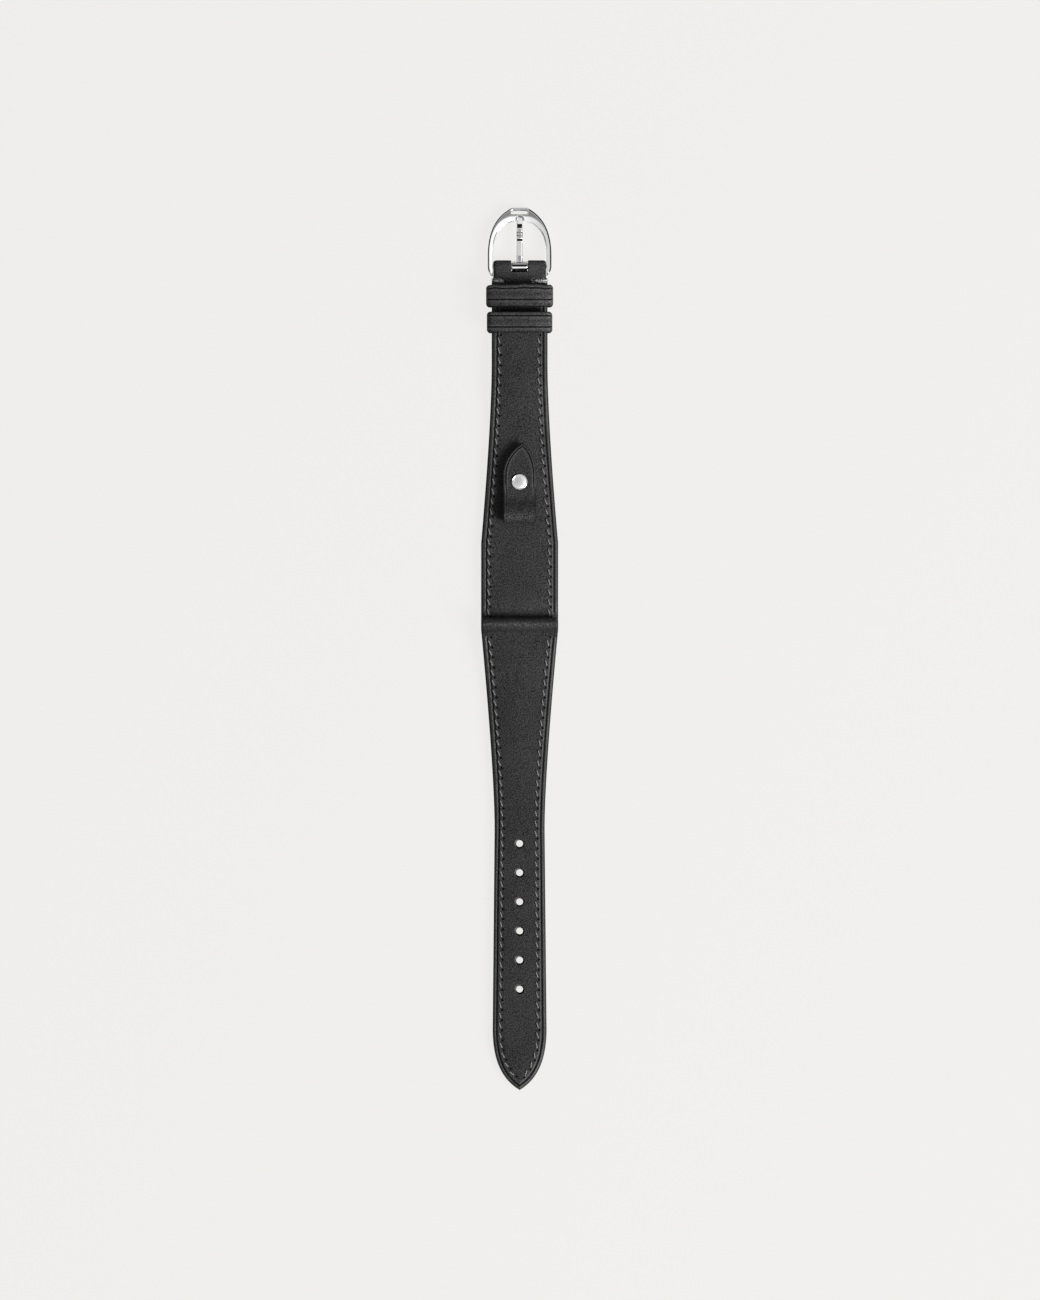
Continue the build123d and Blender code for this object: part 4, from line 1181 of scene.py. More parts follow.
def keeper(name, creases, wave):
    """A closed band of leather round the strap.

    The band's section is its CAD loop; its face sinks a little towards both ends, and its corners are round there:
    an end draws in by r (1 - sqrt(1 - u^2)), u going from 0 to 1 over the last r of the half width.
    """
    low, high = node_box(PIECES[name][1])
    width, length, height = high - low
    middle = (low[2] + high[2]) / 2
    corner, plan_round, edge_round, crown, thickness = 1.25, 0.75, 0.22, 0.07, 0.97
    swell, furrow = (0.05, 0.36, 0.16), (-0.2, 0, 0.18)
    sunk, sink_power, waviness, painted_lightening, thinned, thinned_end, inner_in = 0.5, 2.6, 0.03, 0.75, 0.08, 0.2, 1
    quarters = ((1, 1, 0), (-1, 1, 90), (-1, -1, 180), (1, -1, 270))
    centres = [(sx * (width / 2 - corner), sz * (height / 2 - corner), start) for sx, sz, start in quarters]
    turn = [arc((cx, cz), corner, start, start + 90, 14) for cx, cz, start in centres]
    loop = even(np.concatenate([*turn, turn[0][:1]]), 260)
    step = np.gradient(loop, axis=0)
    step[0] = step[-1] = (step[0] + step[-1]) / 2
    step = unit(step)
    loop_x, loop_z, out_x, out_z = loop[:, :1], loop[:, 1:], step[:, 1:], -step[:, :1]
    upper = smooth(loop_z, 0, height / 2 - 0.2)
    sink = sunk * np.abs(loop_x / (width / 2)) ** sink_power * upper
    run = np.array([0, 0.01, 0.04, 0.09, 0.16, 0.25, 0.36, 0.5])
    over = np.concatenate([run, np.linspace(run[-1], length - run[-1], 60)[1:-1], (length - run)[::-1]])
    near_end = np.minimum(over, length - over)
    gap = np.min([np.abs(over - crease) for crease in creases], 0)
    lift = crown * np.sin(np.pi * over / length) - rounding(near_end, edge_round)
    lift = lift + ridge(gap, *swell) + ridge(gap, *furrow) + waviness * np.sin(1.3 * loop_x + 1.1 * over) * upper
    centre = over / length - 0.5
    drawn = rounding(width / 2 - np.abs(loop_x), plan_round)
    y = low[1] + over - 2 * drawn * centre + wave(loop_x) * smooth(centre, -0.2, 0.5) * upper
    outer_x = np.clip(loop_x + out_x * lift, -width / 2, width / 2)
    outer_z = np.maximum(middle + loop_z + out_z * lift - sink, low[2])
    thick = thickness - thinned * (near_end < thinned_end)
    inner_x = np.clip(loop_x - out_x * thick, inner_in - width / 2, width / 2 - inner_in)
    inner_z = middle + loop_z - out_z * thick - sink
    grids = [np.stack([part_x, y, part_z], -1)[:, ::-1] for part_x, part_z in ((outer_x, outer_z), (inner_x, inner_z))]
    # the crease distance paints shade into the keeper's creases
    edge, crease = (np.broadcast_to(part, y.shape)[:, ::-1] for part in (near_end, gap))
    # painted light: the band lighter towards its right side, where the lamp stands
    values = seam_values(edge, crease, worn=painted_lightening * smooth(loop_x, -1, width / 2 - 1.5))
    make_piece(name, *shell(*grids, ring=True), band_material(), values)


class STRAP_OT_keepers(bpy.types.Operator):
    """Makes the fixed and the free keeper"""

    bl_idname = "strap.keepers"
    bl_label = "Keepers"

    def execute(self, context):
        keeper("keeper_fixed", (1.9, 4.85), self.hand_cut)
        keeper("keeper_free", (1.45, 4.4), self.straight)
        return {"FINISHED"}

    def straight(self, x):
        """An end that runs straight across."""
        return 0 * x

    def hand_cut(self, x):
        """An end cut by hand: two slow waves, and drawn back at the left corner."""
        drawn, corner = 0.3, (6, 8.5)
        return 0.12 * np.sin(0.55 * x + 0.4) + 0.05 * np.sin(1.7 * x) - drawn * smooth(-x, *corner)


class STRAP_OT_tab(bpy.types.Operator):
    """Makes the snap tab: the loop and its pointed leaf, and the lower leaf on the base"""

    bl_idname = "strap.tab"
    bl_label = "Tab"

    def execute(self, context):
        loop_top = TAB_Z + FOLD_RADIUS
        drop_y = np.linspace(TAB_Y, TAB_Y + TAB_DROP, 60)
        drop = np.stack([drop_y, loop_top + (TAB_FLAT_TOP - loop_top) * smooth(drop_y, TAB_Y, TAB_Y + TAB_DROP)], 1)
        loop = arc((TAB_Y, TAB_Z), FOLD_RADIUS, TAB_LOOP - 270, -270, 150)
        route = Route(loop, drop, [(TAB_TIP_Y, TAB_FLAT_TOP)])
        shoulder, cheek = (4.1, 0.33 * TAB_POINT), (2.72, 0.8 * TAB_POINT)
        ribs, tip_ribs, least_share, skewed, crumpled, snap_ring = 150, 56, 0.35, 0.85, 0.04, (-0.12, 2.2, 0.35)
        point = bezier([(TAB_HALF, 0), shoulder, cheek, (0, TAB_POINT)])
        start = route.place(TAB_TIP_Y - TAB_POINT)
        tip = even(point, tip_ribs)
        places = np.concatenate([np.linspace(0, start, ribs)[:-1], start + tip[:, 1]])
        half = np.concatenate([np.full(ribs - 1, TAB_HALF), tip[:, 0]])
        fine = np.linspace(0, TAB_POINT, 400)
        tip_slope = np.gradient(np.interp(fine, point[:, 1], point[:, 0]), fine)
        slope = np.interp(places - start, fine, tip_slope) * (places > start)
        x, place, inset = strip_grid(places, half, slope, TAB_BAND, TAB_COLUMNS)
        place = np.minimum(place, start + TAB_POINT)
        leaf = smooth(places, route.place(TAB_Y + 4), route.place(TAB_Y + 9))[:, None]
        share = np.broadcast_to(least_share + (1 - least_share) * leaf, x.shape)
        pressed = ridge(np.hypot(x, place - route.place(SNAP_Y)), *snap_ring)
        crumple = crumpled * np.sin(2.3 * x + 0.7 * place) * np.sin(1.9 * place) * (1 - leaf)
        skew = skewed * np.clip((place - start) / TAB_POINT, 0, 1) ** 2
        outer = lay(route, x, place, edge_profile(inset, share, TAB_CREASE, 0.7) + pressed + crumple)
        inner = lay(route, x, place, rounding(inset, CORNER) - TAB_LEATHER)
        for grid in (outer, inner):
            grid[..., 0] += skew
        # painted shade in the tab's crease, and its painted highlight and shade
        values = seam_values(inset, 1.2 * (inset - TAB_CREASE), share, worn=self.worn(place))
        make_piece("tab_leaf", *shell(outer, inner), band_material(), values)
        self.lower_leaf()
        return {"FINISHED"}

    def worn(self, place):
        """A painted highlight where the loop bends over, and painted shade in the dip behind it."""
        bend, dip = (0.9, 0.1, 0.8), (-0.4, 3.6, 1.3)
        past = place - np.radians(TAB_LOOP) * FOLD_RADIUS
        return ridge(past, *bend) + ridge(past, *dip)

    def lower_leaf(self):
        """The lower leaf lies on the base, its front corners rounded by a quarter circle."""
        low, high = node_box(PIECES["tab_lower_leaf"][1])
        route = Route([(low[1], high[2]), (high[1], high[2])])
        straight = route.end - TAB_ROOT_ROUND
        places = np.concatenate([np.linspace(0, straight, 40)[:-1], route.end - TAB_ROOT_ROUND * (1 - quarter(14))])
        half = (high[0] - low[0]) / 2 - rounding(route.end - places, TAB_ROOT_ROUND)
        x, place, inset = strip_grid(places, half, 0 * half, TAB_BAND, TAB_COLUMNS)
        outer = lay(route, x, place, edge_profile(inset, 0.0, size=0.5))
        inner = lay(route, x, place, rounding(inset, CORNER) - TAB_LEATHER)
        make_piece("tab_lower_leaf", *shell(outer, inner), band_material(), seam_values(inset, inset, 0.0))


# ---- Thread


def stitches(name, middles, headings, ups):
    """Saddle stitches: short thick threads that dive into the leather at both ends.

    A stitch is an ellipse carried along a line bent down at its ends, z = top (1 - u^4) - dip u^8, u from -1 to 1.
    """
    seam = bpy.context.scene.strap_seam
    top, dip, flat, twists = 0.09, 0.2, 0.8, 2.2
    count = 8
    u = np.linspace(-1, 1, count)[:, None]
    turn = np.linspace(0, 2 * np.pi, count)[None, :]
    size = seam.thread / MM / 2 * np.sqrt(np.clip(1 - u**6, 0, 1))
    run = seam.stitch / MM / 2 * u + 0 * turn
    rise = top * (1 - u**4) - dip * u**8 + flat * size * np.sin(turn)
    parts = (run, headings), (size * np.cos(turn), np.cross(ups, headings)), (rise, ups)
    points = middles[:, None, None] + sum(part[None, ..., None] * way[:, None, None] for part, way in parts)
    index, cells = grid_cells(count, count)
    faces = cells.reshape(-1, 4)[None, :, ::-1] + index.size * np.arange(len(middles))[:, None, None]
    twist = np.tile((twists * run + turn / (2 * np.pi)).ravel(), len(middles))
    make_piece(name, points.reshape(-1, 3), faces.reshape(-1, 4), thread_material(), {"twist": twist}, 80.0)


def seam_places(route, y_edge, row, side):
    """Middles, headings and upward directions of the stitches along a line set in from the edge."""
    seam = bpy.context.scene.strap_seam
    pitch = seam.pitch / MM
    ahead, last, slant = 0.05, 0.3, np.radians(19)
    line = row_line(y_edge, row, route.place(y_edge))
    line = line[line[:, 0] > 0]
    spots = np.arange(pitch, lengths(line)[-1] - last * pitch, pitch)
    found = along(line, spots), along(line, spots + ahead)
    middles, following = (np.stack([side * spot[:, 0], *route.at(spot[:, 1])], 1) for spot in found)
    heading = unit(following - middles)
    middles[:, 0] -= seam.thread_aside / MM
    up = unit(np.cross([1.0, 0, 0], heading))
    heading = np.cos(slant) * heading + np.sin(slant) * np.cross(up, heading)
    return middles, heading, up


class STRAP_OT_thread(bpy.types.Operator):
    """Makes the rows of saddle stitches on the tail and on both sides of the base"""

    bl_idname = "strap.thread"
    bl_label = "Thread"

    def execute(self, context):
        seam = context.scene.strap_seam
        step = 0.05
        route = Route([(TIP_Y, TAIL_TOP)], ramp_line())
        y_edge = np.arange(TIP_Y, CREASE_END_Y, step)
        sides = [seam_places(route, y_edge, seam.tail_row / MM, side) for side in (1, -1)]
        stitches("thread_tail", *(np.concatenate(pair) for pair in zip(*sides)))
        seat = [(FOLD_Y, FOLD_SEAT), (SKIVE_Y, FOLD_SEAT), (SKIVE_END_Y, BASE_TOP)]
        route = Route(seat, rise_line(BASE_TOP), [(ROLL_TAPER_Y, BASE_TOP + RISE)])
        y_edge = np.arange(BASE_SEAM_Y, ROLL_TAPER_Y, step)
        for side, place in ((1, "right"), (-1, "left")):
            stitches(f"thread_base_{place}", *seam_places(route, y_edge, seam.base_row / MM, side))
        return {"FINISHED"}


# ---- Steel

# The buckle frame, in its own plane: across it, and forwards from the bar
FRAME_LEAN = 0.101538
FRAME_HALF = 8.25
WINDOW_HALF = 7.0
FRAME_REACH = 15.15
WINDOW_REACH = 12.0
LEG_BACK = -2.65
LEG_BEND = 2.58
HALF_THICK = 1.1
CROWN = 3.15
LEG = 1.25
EYE_HALF = 0.575
EYE_MIDDLE = 1.075
EYE_CAP = 1.575
BEVEL = 0.45
BEVELS = (0.34, 0.44)
NOTCH = 1.1
STEEL_SHARP = 38.0


def lean_frame(u, v, w):
    """Points of the buckle's own plane, which leans down forwards about the bar: u across, v forwards, w up."""
    sine, cosine = np.sin(FRAME_LEAN), np.cos(FRAME_LEAN)
    return np.stack([u, BAR_Y + v * cosine + w * sine, BAR_Z - v * sine + w * cosine], -1)


class STRAP_OT_frame(bpy.types.Operator):
    """Makes the buckle's polished frame: an arch with a bevelled outer edge, a hollowed face, an eye and a tip rest"""

    bl_idname = "strap.frame"
    bl_label = "Buckle frame"

    def execute(self, context):
        rim = bezier([(2, FRAME_REACH), (6.31, 12.95), (FRAME_HALF, 8.79), (FRAME_HALF, LEG_BEND)])
        foot = bezier([(FRAME_HALF, 0), (FRAME_HALF, -0.9), (7.84, -2.2), (WINDOW_HALF, LEG_BACK)])
        rim = np.concatenate([[(0, FRAME_REACH)], rim, foot])
        window = bezier([(0, WINDOW_REACH), (4.9, WINDOW_REACH), (WINDOW_HALF, 8.28), (WINDOW_HALF, LEG_BEND)])
        window = np.concatenate([window, [(WINDOW_HALF, LEG_BACK)]])
        crown = [0, 0.25, 0.5, 0.72, 0.88, 0.97, 1.04, 1.1, 1.16, 1.24, 1.36, 1.48, 1.575, 1.68, 1.8, 1.92, 2.02, 2.1]
        crown = np.array(crown + [2.15, 2.2, 2.27, 2.36, 2.5, 2.7])
        outside, inside = (
            np.concatenate([np.stack([crown, np.interp(crown, line[:, 0], line[:, 1])], 1), self.rest(line, crown[-1])])
            for line in (rim, window)
        )
        width = np.hypot(*(outside - inside).T)
        body_end = 3.0
        steps = [0, 0.03, 0.08, 0.15, 0.22, 0.29, 0.36, 0.41, BEVEL, 0.5, 0.55, 0.62, 0.7, 0.8, 0.92, 1.05, 1.2, 1.35]
        steps = steps + [1.5, 1.65, 1.7, 1.76, 1.83, 1.91, 1.99, 2.05, 2.11, 2.18, 2.27, 2.43, 2.65, 2.9, body_end]
        steps = np.array(steps + [3.05, 3.09, 3.12, 3.14, CROWN])
        wide = np.maximum(width, LEG)[:, None]
        middle = BEVEL + (steps - BEVEL) * (wide - BEVEL - (CROWN - body_end)) / (body_end - BEVEL)
        over = np.where(steps <= BEVEL, steps, np.where(steps <= body_end, middle, wide - (CROWN - steps)))
        plan = outside[:, None] + (over / wide)[..., None] * (inside - outside)[:, None]
        rings = plan[: len(crown)]
        rings[:] = self.round_off(rings, crown, steps, EYE_CAP, EYE_MIDDLE, EYE_HALF + 0.06, EYE_HALF + 0.25)
        rings[:] = self.round_off(rings, crown, steps, 0, CROWN, NOTCH + 0.15, NOTCH + 0.4)
        rim_v, window_v = (np.interp(rings[..., 0], line[:110, 0], line[:110, 1]) for line in (rim, window))
        wide = np.broadcast_to(wide, over.shape).copy()
        wide[: len(crown)] = rim_v - window_v
        over[: len(crown)] = rim_v - rings[..., 1]
        heading = unit(np.gradient(outside, axis=0))
        rib = (inside - outside) / np.maximum(width, 0.01)[:, None]
        square = np.abs(heading[:, 0] * rib[:, 1] - heading[:, 1] * rib[:, 0])[:, None]
        close = np.sqrt(np.clip(1 - (1 - np.minimum(width / LEG, 1)) ** 2, 0, 1))[:, None]
        (top_left, low), (top_right, _) = (self.faces(over, wide, plan, heading[:, :1], square, cut) for cut in BEVELS)
        grids = []
        for left_w, right_w in ((top_left, top_right), (low, low)):
            left = np.stack([-plan[:0:-1, :, 0], plan[:0:-1, :, 1], (left_w * close)[:0:-1]], -1)
            right = np.concatenate([plan, (right_w * close)[..., None]], -1)
            grids.append(lean_frame(*np.moveaxis(np.concatenate([left, right]), -1, 0)))
        around = np.hypot(plan[..., 0], plan[..., 1] - WINDOW_REACH)
        # painted shade: a dark ring round the notch where the tongue's tip rests
        recess = bump(around, NOTCH + 0.06, 0.07) * (plan[..., 1] > 11.6)
        recess = np.concatenate([recess[:0:-1], recess])
        station = np.full(len(outside), 9.0)
        station[: len(crown)] = crown
        station = np.concatenate([station[:0:-1], station])
        in_eye = (station[:-1] < 2.16) & (station[1:] < 2.16)
        between = (steps[:-1] > 0.49) & (steps[1:] < 1.66)
        keep = ~(in_eye[:, None] & between[None, :])
        values = {"recess": twice(recess)[0]}
        make_piece("frame_arch", *shell(*grids, keep), polished_steel(), values, STEEL_SHARP)
        return {"FINISHED"}

    def rest(self, line, start):
        """The rest of an outline beyond the crown, in equal steps."""
        far = lengths(line)
        widest = np.argmax(line[:, 0])
        return along(line, np.linspace(np.interp(start, line[:widest, 0], far[:widest]), far[-1], 90)[1:])

    def round_off(self, plan, crown, steps, cap, middle, full, end):
        """Presses the squares of the grid round a point into circles: wholly up to one size, not at all past another.

        A point's square is its greater distance, sideways or forwards, from the middle of the opening's round end.
        """
        x = np.broadcast_to(crown[:, None], (len(crown), len(steps)))
        dx = np.maximum(x - cap, 0)
        dy = np.broadcast_to((middle - steps)[None, :], dx.shape)
        square = np.maximum(dx, np.abs(dy))
        reach = np.hypot(dx, dy) + 1e-9
        target = np.stack([np.minimum(x, cap) + dx * square / reach, FRAME_REACH - middle + dy * square / reach], -1)
        share = (1 - smooth(square, full, end))[..., None]
        return share * target + (1 - share) * plan

    def faces(self, over, wide, plan, forward, square, side_bevel):
        """Heights of the face and the back.

        The face climbs a bevel from the outer edge and falls from its crest to the window, crest - drop t^n, n growing
        from the legs to the crown.
        """
        crown_bevel, crest, edge_round, back_round, eye_round, notch_round = 0.12, 0.06, 0.1, 0.25, 0.14, 0.14
        x, v = np.abs(plan[..., 0]), plan[..., 1]
        grow = np.clip((wide - LEG) / (CROWN - LEG), 0, 1)
        bevel = crown_bevel + (side_bevel - crown_bevel) * smooth(x, 1.9, 2.4)
        out = np.clip(1 - over * square / bevel, 0, 1)
        climb = np.tan(np.radians(36.5 - 6 * forward)) * bevel * (out - crest * (1 - np.exp(-out / crest)))
        t = np.clip((over - BEVEL) / (wide - edge_round - BEVEL), 0, 1)
        left_over = wide - over
        top = HALF_THICK - climb - (0.24 + 0.4 * grow) * t ** (1.15 + 1.25 * grow) - rounding(left_over, edge_round)
        around = np.hypot(x, v - WINDOW_REACH)
        rim = np.clip(1 - (around - NOTCH) / notch_round, 0, 1) * (v > 11)
        in_notch = (around < NOTCH - 0.02) & (v > 11)
        top = np.where(in_notch, np.minimum(top, -0.05), top - edge_round * rim**2)
        low = rounding(np.minimum(over, left_over), back_round) - HALF_THICK
        ring = np.hypot(np.maximum(x - EYE_CAP, 0), v - (FRAME_REACH - EYE_MIDDLE)) - EYE_HALF
        near_eye = np.clip(1 - ring / eye_round, 0, 1) * (v > 12.9)
        return top - edge_round * near_eye**2, low + edge_round * near_eye**2


class STRAP_OT_tongue(bpy.types.Operator):
    """Makes the buckle's tongue: a prong with a raised block, and a rolled barrel round the bar"""

    bl_idname = "strap.tongue"
    bl_label = "Buckle tongue"

    def execute(self, context):
        start, nose_start, nose, half, shoulder = 0.92, 12.4, 0.35, 0.755, 10.9
        v = np.concatenate([np.linspace(start, nose_start, 330), nose_start + nose * quarter(14)[1:]])
        steps = [(0.8, 1.0), (1.9, 0.98), (2.5, 1.13), (6.3, 0.88), (6.36, 0.9), (7.1, 1.54), (7.16, 1.56), (9.74, 1.5)]
        steps = np.array(steps + [(9.8, 1.47), (11.0, 0.68), (11.08, 0.66), (nose_start, 0.52)])
        cuts, cut_width, cut_depth = (7.76, 8.72), 0.09, 0.16
        slimmed, block_wider, nose_half, nose_tall, squared_off = 0.08, 0.02, 0.12, 0.15, (0.5, 0.42)
        block = plateau(v, 7.62, 7.68, 8.82, 8.88)
        cut = sum(bump(v, place, cut_width) for place in cuts)
        high = evened(np.interp(v, steps[:, 0], steps[:, 1]), 6, 2.5) - cut_depth * cut
        low = np.interp(v, [0.8, 3.5, 6.4, 9.5, nose_start], [-0.45, -0.02, 0.2, 0.14, 0.0])
        taper = np.sqrt(np.clip(1 - np.clip((v - nose_start) / (nose + 0.01), 0, 1) ** 2, 0, 1))
        half = half - slimmed * smooth(v, shoulder, nose_start) + block_wider * block
        half = half * (nose_half + (1 - nose_half) * taper)
        centre = (high + low) / 2
        tall = (high - low) / 2 * (nose_tall + (1 - nose_tall) * taper)
        turn = np.linspace(0, 2 * np.pi, 49)[None, :]
        u = half[:, None] * signed_power(np.cos(turn), squared_off[0])
        w = centre[:, None] + tall[:, None] * signed_power(np.sin(turn), squared_off[1])
        grid = lean_frame(u, np.broadcast_to(v[:, None], u.shape), w)
        index, faces = grid_cells(*u.shape, back=True)
        ends = [lean_frame(*(np.array([value]) for value in (0.0, v[row], centre[row]))) for row in (0, -1)]
        hub = np.full(u.shape[1] - 1, index.size)
        start = np.stack([index[0, :-1], index[0, 1:], hub, hub], 1)
        end = np.stack([index[-1, 1:], index[-1, :-1], hub + 1, hub + 1], 1)
        points = np.concatenate([grid.reshape(-1, 3), *ends])
        # painted shade: the block's two cuts and its sides painted dark
        sides = smooth(np.abs(u), 0.52, 0.62) * block[:, None]
        recess = np.concatenate([np.maximum(np.minimum(cut, 1)[:, None], sides).ravel(), [0, 0]])
        barrel_points, barrel_faces, barrel_shade = self.barrel()
        faces = np.concatenate([faces.reshape(-1, 4), start, end, barrel_faces + len(points)])
        points = np.concatenate([points, barrel_points])
        values = {"recess": np.concatenate([recess, barrel_shade])}
        make_piece("tongue_prong", points, faces, polished_steel(), values, STEEL_SHARP)
        return {"FINISHED"}

    def barrel(self):
        """The barrel: a profile turned about the bar, with the open seam of its roll along the top."""
        half, radius, bore, corner = 2.0, 1.3, 0.87, 0.14
        seam_turn, seam_depth, seam_edges = 4, 0.3, (8.5, 11.5)
        x = np.array([1.2, 1.76, 1.86, 1.94, 1.985, half])
        x = np.concatenate([-x[::-1], [-0.4, 0.4], x])
        radius = radius - rounding(half - np.abs(x), corner)
        turn = np.linspace(0, 2 * np.pi, 241)
        off = np.degrees(np.angle(np.exp(1j * (turn - np.pi / 2 + np.radians(seam_turn)))))
        seam = 1 - smooth(np.abs(off), *seam_edges)
        outer_r = radius[None, :] - seam_depth * seam[:, None]
        inner_r = np.full(outer_r.shape, bore)
        sides = [(0 * r + x, r * np.cos(turn)[:, None], r * np.sin(turn)[:, None]) for r in (outer_r, inner_r)]
        points, faces = shell(*(lean_frame(*side) for side in sides), ring=True)
        # painted shade: the open seam painted dark
        return points, faces, twice(np.broadcast_to(seam[:, None], outer_r.shape))[0]


class STRAP_OT_snap(bpy.types.Operator):
    """Makes the snap's cap, and gives the snap's and the spring bar's small parts their steel"""

    bl_idname = "strap.snap"
    bl_label = "Snap and spring bar"

    def execute(self, context):
        curve, sunk, sharp = 0.055, -0.12, 60.0
        dome = [(radius, CAP_HEIGHT - curve * radius**2) for radius in (0, 0.3, 0.6, 0.9, 1.2, 1.45, 1.66)]
        rim = [(1.7, 0.255), (1.74, 0.28), (1.79, 0.33), (1.84, 0.36), (1.9, 0.365), (1.96, 0.34), (2.01, 0.29)]
        foot = [(2.05, 0.23), (CAP_RADIUS, 0.14), (CAP_RADIUS, 0.0), (1.9, sunk), (0, sunk)]
        turn = np.linspace(0, 2 * np.pi, 97)[:, None]
        radius, height = np.array(dome + rim + foot).T
        across, along_strap = radius * np.cos(turn), SNAP_Y + radius * np.sin(turn)
        points = np.stack([across, along_strap, TAB_FLAT_TOP + height + 0 * turn], -1).reshape(-1, 3)
        _, faces = grid_cells(len(turn), len(radius))
        values = {"away": np.tile(radius, len(turn))}
        make_piece("snap_button", points, faces.reshape(-1, 4), cap_material(), values, sharp)
        shown = ["spring_bar_tube", "spring_bar_tip_left", "spring_bar_tip_right"]
        for name in shown + ["snap_socket", "snap_ring_spring", "snap_stud", "snap_post"]:
            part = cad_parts[name]
            part.data.materials.clear()
            part.data.materials.append(plain_steel())
        return {"FINISHED"}


class STRAP_OT_spring(bpy.types.Operator):
    """Makes the fine coil inside the spring bar, in two halves, one running out towards each tip"""

    bl_idname = "strap.spring"
    bl_label = "Spring bar's coil"

    def execute(self, context):
        wire, pitch, end_gap, count, round_count, sharp = 0.065, 0.36, 0.03, 400, 9, 60.0
        low, high = node_box("spring_bar_spring")
        radius = (high[2] - low[2]) / 2 - wire
        far = np.linspace(0, 1, count)
        thick = wire * np.sqrt(np.clip(1 - (2 * far - 1) ** 80, 0, 1))
        round_wire = np.linspace(0, 2 * np.pi, round_count)[None, :, None]
        _, faces = grid_cells(count, round_count, back=True)
        middle = np.array([0, BAR_Y, BAR_Z])
        for side, place in ((-1, "left"), (1, "right")):
            x = side * (high[0] - wire - end_gap) * far
            turn = 2 * np.pi * x / pitch
            out = np.stack([0 * x, np.cos(turn), np.sin(turn)], -1)
            outward = np.array([side, 0, 0])
            line = middle + radius * out + np.abs(x)[:, None] * outward
            ring = np.cos(round_wire) * out[:, None] + np.sin(round_wire) * outward
            points = line[:, None] + thick[:, None, None] * ring
            name = f"spring_coil_{place}"
            coil = make_piece(name, points.reshape(-1, 3), faces.reshape(-1, 4), plain_steel(), sharp=sharp)
            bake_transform(coil)
        return {"FINISHED"}


# ---- Stage


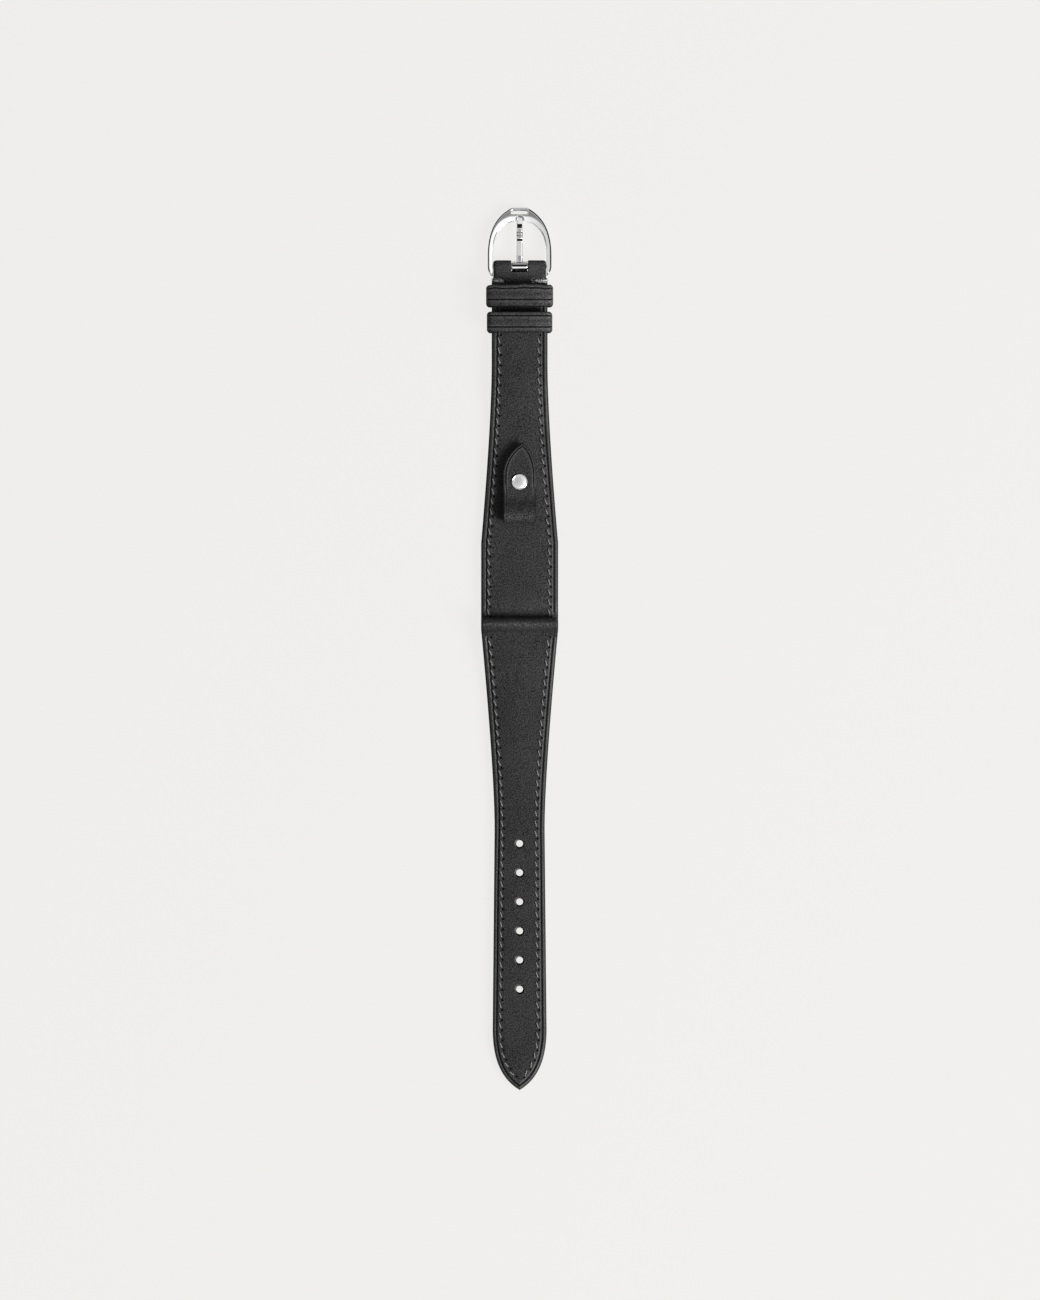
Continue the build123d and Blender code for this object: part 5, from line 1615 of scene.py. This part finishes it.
class STRAP_OT_stage(bpy.types.Operator):
    """Makes the pale floor, the soft light and the camera straight above"""

    bl_idname = "strap.stage"
    bl_label = "Stage"

    def execute(self, context):
        stage = context.scene.strap_stage
        size, below = 3.0, -0.0001
        mesh = bpy.data.meshes.new("floor")
        corners = [(x * size, y * size, below) for x, y in ((-1, -1), (1, -1), (1, 1), (-1, 1))]
        mesh.from_pydata(corners, [], [(0, 1, 2, 3)])
        mesh.materials.append(self.floor_material(stage))
        self.put("floor", mesh)
        self.world(context.scene, stage)
        light = bpy.data.lights.new("key_lamp", "AREA")
        light.energy = stage.key
        light.size = 1.0
        lamp = self.put("key_lamp", light, (1.3, -0.72, 1.2))
        lamp.rotation_euler = lamp.location.to_track_quat("Z", "Y").to_euler()
        camera = bpy.data.cameras.new("camera")
        camera.type = "PERSP"
        camera.sensor_fit = "VERTICAL"
        camera.sensor_height = 36.0
        camera.lens = camera.sensor_height * stage.distance / stage.view_height
        camera.clip_end = 20.0
        context.scene.camera = self.put("camera", camera, (0.0001, -0.00026, stage.distance))
        context.scene.view_settings.view_transform = "Standard"
        return {"FINISHED"}

    def put(self, name, data, place=(0, 0, 0)):
        """An object with this data at this place, in metres."""
        holder = bpy.data.objects.new(name, data)
        holder.location = place
        bpy.context.scene.collection.objects.link(holder)
        return holder

    def floor_material(self, stage):
        """A pale floor that the camera sees at its own colour, with part of the object's shadow."""
        own_colour = 0.93
        material = bpy.data.materials.new("floor")
        tree = empty_tree(material)
        lit = node(tree, "BsdfDiffuse", None, {"Color": plain(stage.floor)})
        glow = node(tree, "Emission", None, {"Color": plain(stage.floor), "Strength": 1.0})
        share = product(tree, node(tree, "LightPath").outputs["Is Camera Ray"], own_colour)
        mixed = node(tree, "MixShader", None, {0: share, 1: lit.outputs[0], 2: glow.outputs[0]})
        node(tree, "OutputMaterial", None, {0: mixed.outputs[0]})
        return material

    def world(self, scene, stage):
        """Even light all round; polished steel sees a grey ceiling, bright screens round it and a dark horizon."""
        horizon, ceiling, side = (0.42, 0.5, 0.02, 1.0), (0.9, 0.985, 1.08, 0.3), (-0.8, 0.8, 0.66, 1.1)
        world = bpy.data.worlds.new("studio")
        tree = empty_tree(world)
        path = node(tree, "LightPath")
        toward = node(tree, "SeparateXYZ", None, {0: node(tree, "TexCoord").outputs["Generated"]}).outputs
        screens = product(tree, ramp(tree, toward[2], *horizon), ramp(tree, toward[2], *ceiling))
        right = sums(tree, "MULTIPLY_ADD", toward[1], -0.6, toward[0])
        glossy = product(tree, screens, ramp(tree, right, *side))
        level_inputs = {0: path.outputs["Is Glossy Ray"], 2: stage.fill, 3: glossy}
        level = node(tree, "Mix", {"data_type": "FLOAT"}, level_inputs).outputs[0]
        around = node(tree, "Background", None, {"Color": (1.0, 1.0, 1.0, 1.0), "Strength": level})
        seen = node(tree, "Background", None, {"Color": plain(stage.floor), "Strength": 1.0})
        mixed_inputs = {0: path.outputs["Is Camera Ray"], 1: around.outputs[0], 2: seen.outputs[0]}
        mixed = node(tree, "MixShader", None, mixed_inputs)
        node(tree, "OutputWorld", None, {0: mixed.outputs[0]})
        scene.world = world


OPERATORS = [
    STRAP_OT_stage,
    STRAP_OT_lining,
    STRAP_OT_tail,
    STRAP_OT_base,
    STRAP_OT_keepers,
    STRAP_OT_tab,
    STRAP_OT_thread,
    STRAP_OT_frame,
    STRAP_OT_tongue,
    STRAP_OT_snap,
    STRAP_OT_spring,
]


class STRAP_PT_sidebar(bpy.types.Panel):
    """The strap's pieces and settings"""

    bl_label = "Strap"
    bl_idname = "STRAP_PT_sidebar"
    bl_space_type = "VIEW_3D"
    bl_region_type = "UI"
    bl_category = "Strap"

    def draw(self, context):
        for name, group in SETTINGS.items():
            box = self.layout.box()
            box.label(text=group.__doc__)
            for label in group.__annotations__:
                box.prop(getattr(context.scene, name), label)
        for operator in OPERATORS:
            self.layout.operator(operator.bl_idname)


CLASSES = [*SETTINGS.values(), *OPERATORS, STRAP_PT_sidebar]


def register():
    """Registers the settings, the operators and the panel."""
    for kind in CLASSES:
        bpy.utils.register_class(kind)
    for name, kind in SETTINGS.items():
        setattr(bpy.types.Scene, name, bpy.props.PointerProperty(type=kind))


def unregister():
    """Takes them out again, the last one first."""
    for name in SETTINGS:
        delattr(bpy.types.Scene, name)
    for kind in reversed(CLASSES):
        bpy.utils.unregister_class(kind)


def main():
    """Makes every piece in order."""
    register()
    for operator in OPERATORS:
        group, name = operator.bl_idname.split(".")
        getattr(getattr(bpy.ops, group), name)()
    bpy.context.view_layer.update()


if __name__ == "__main__":
    main()
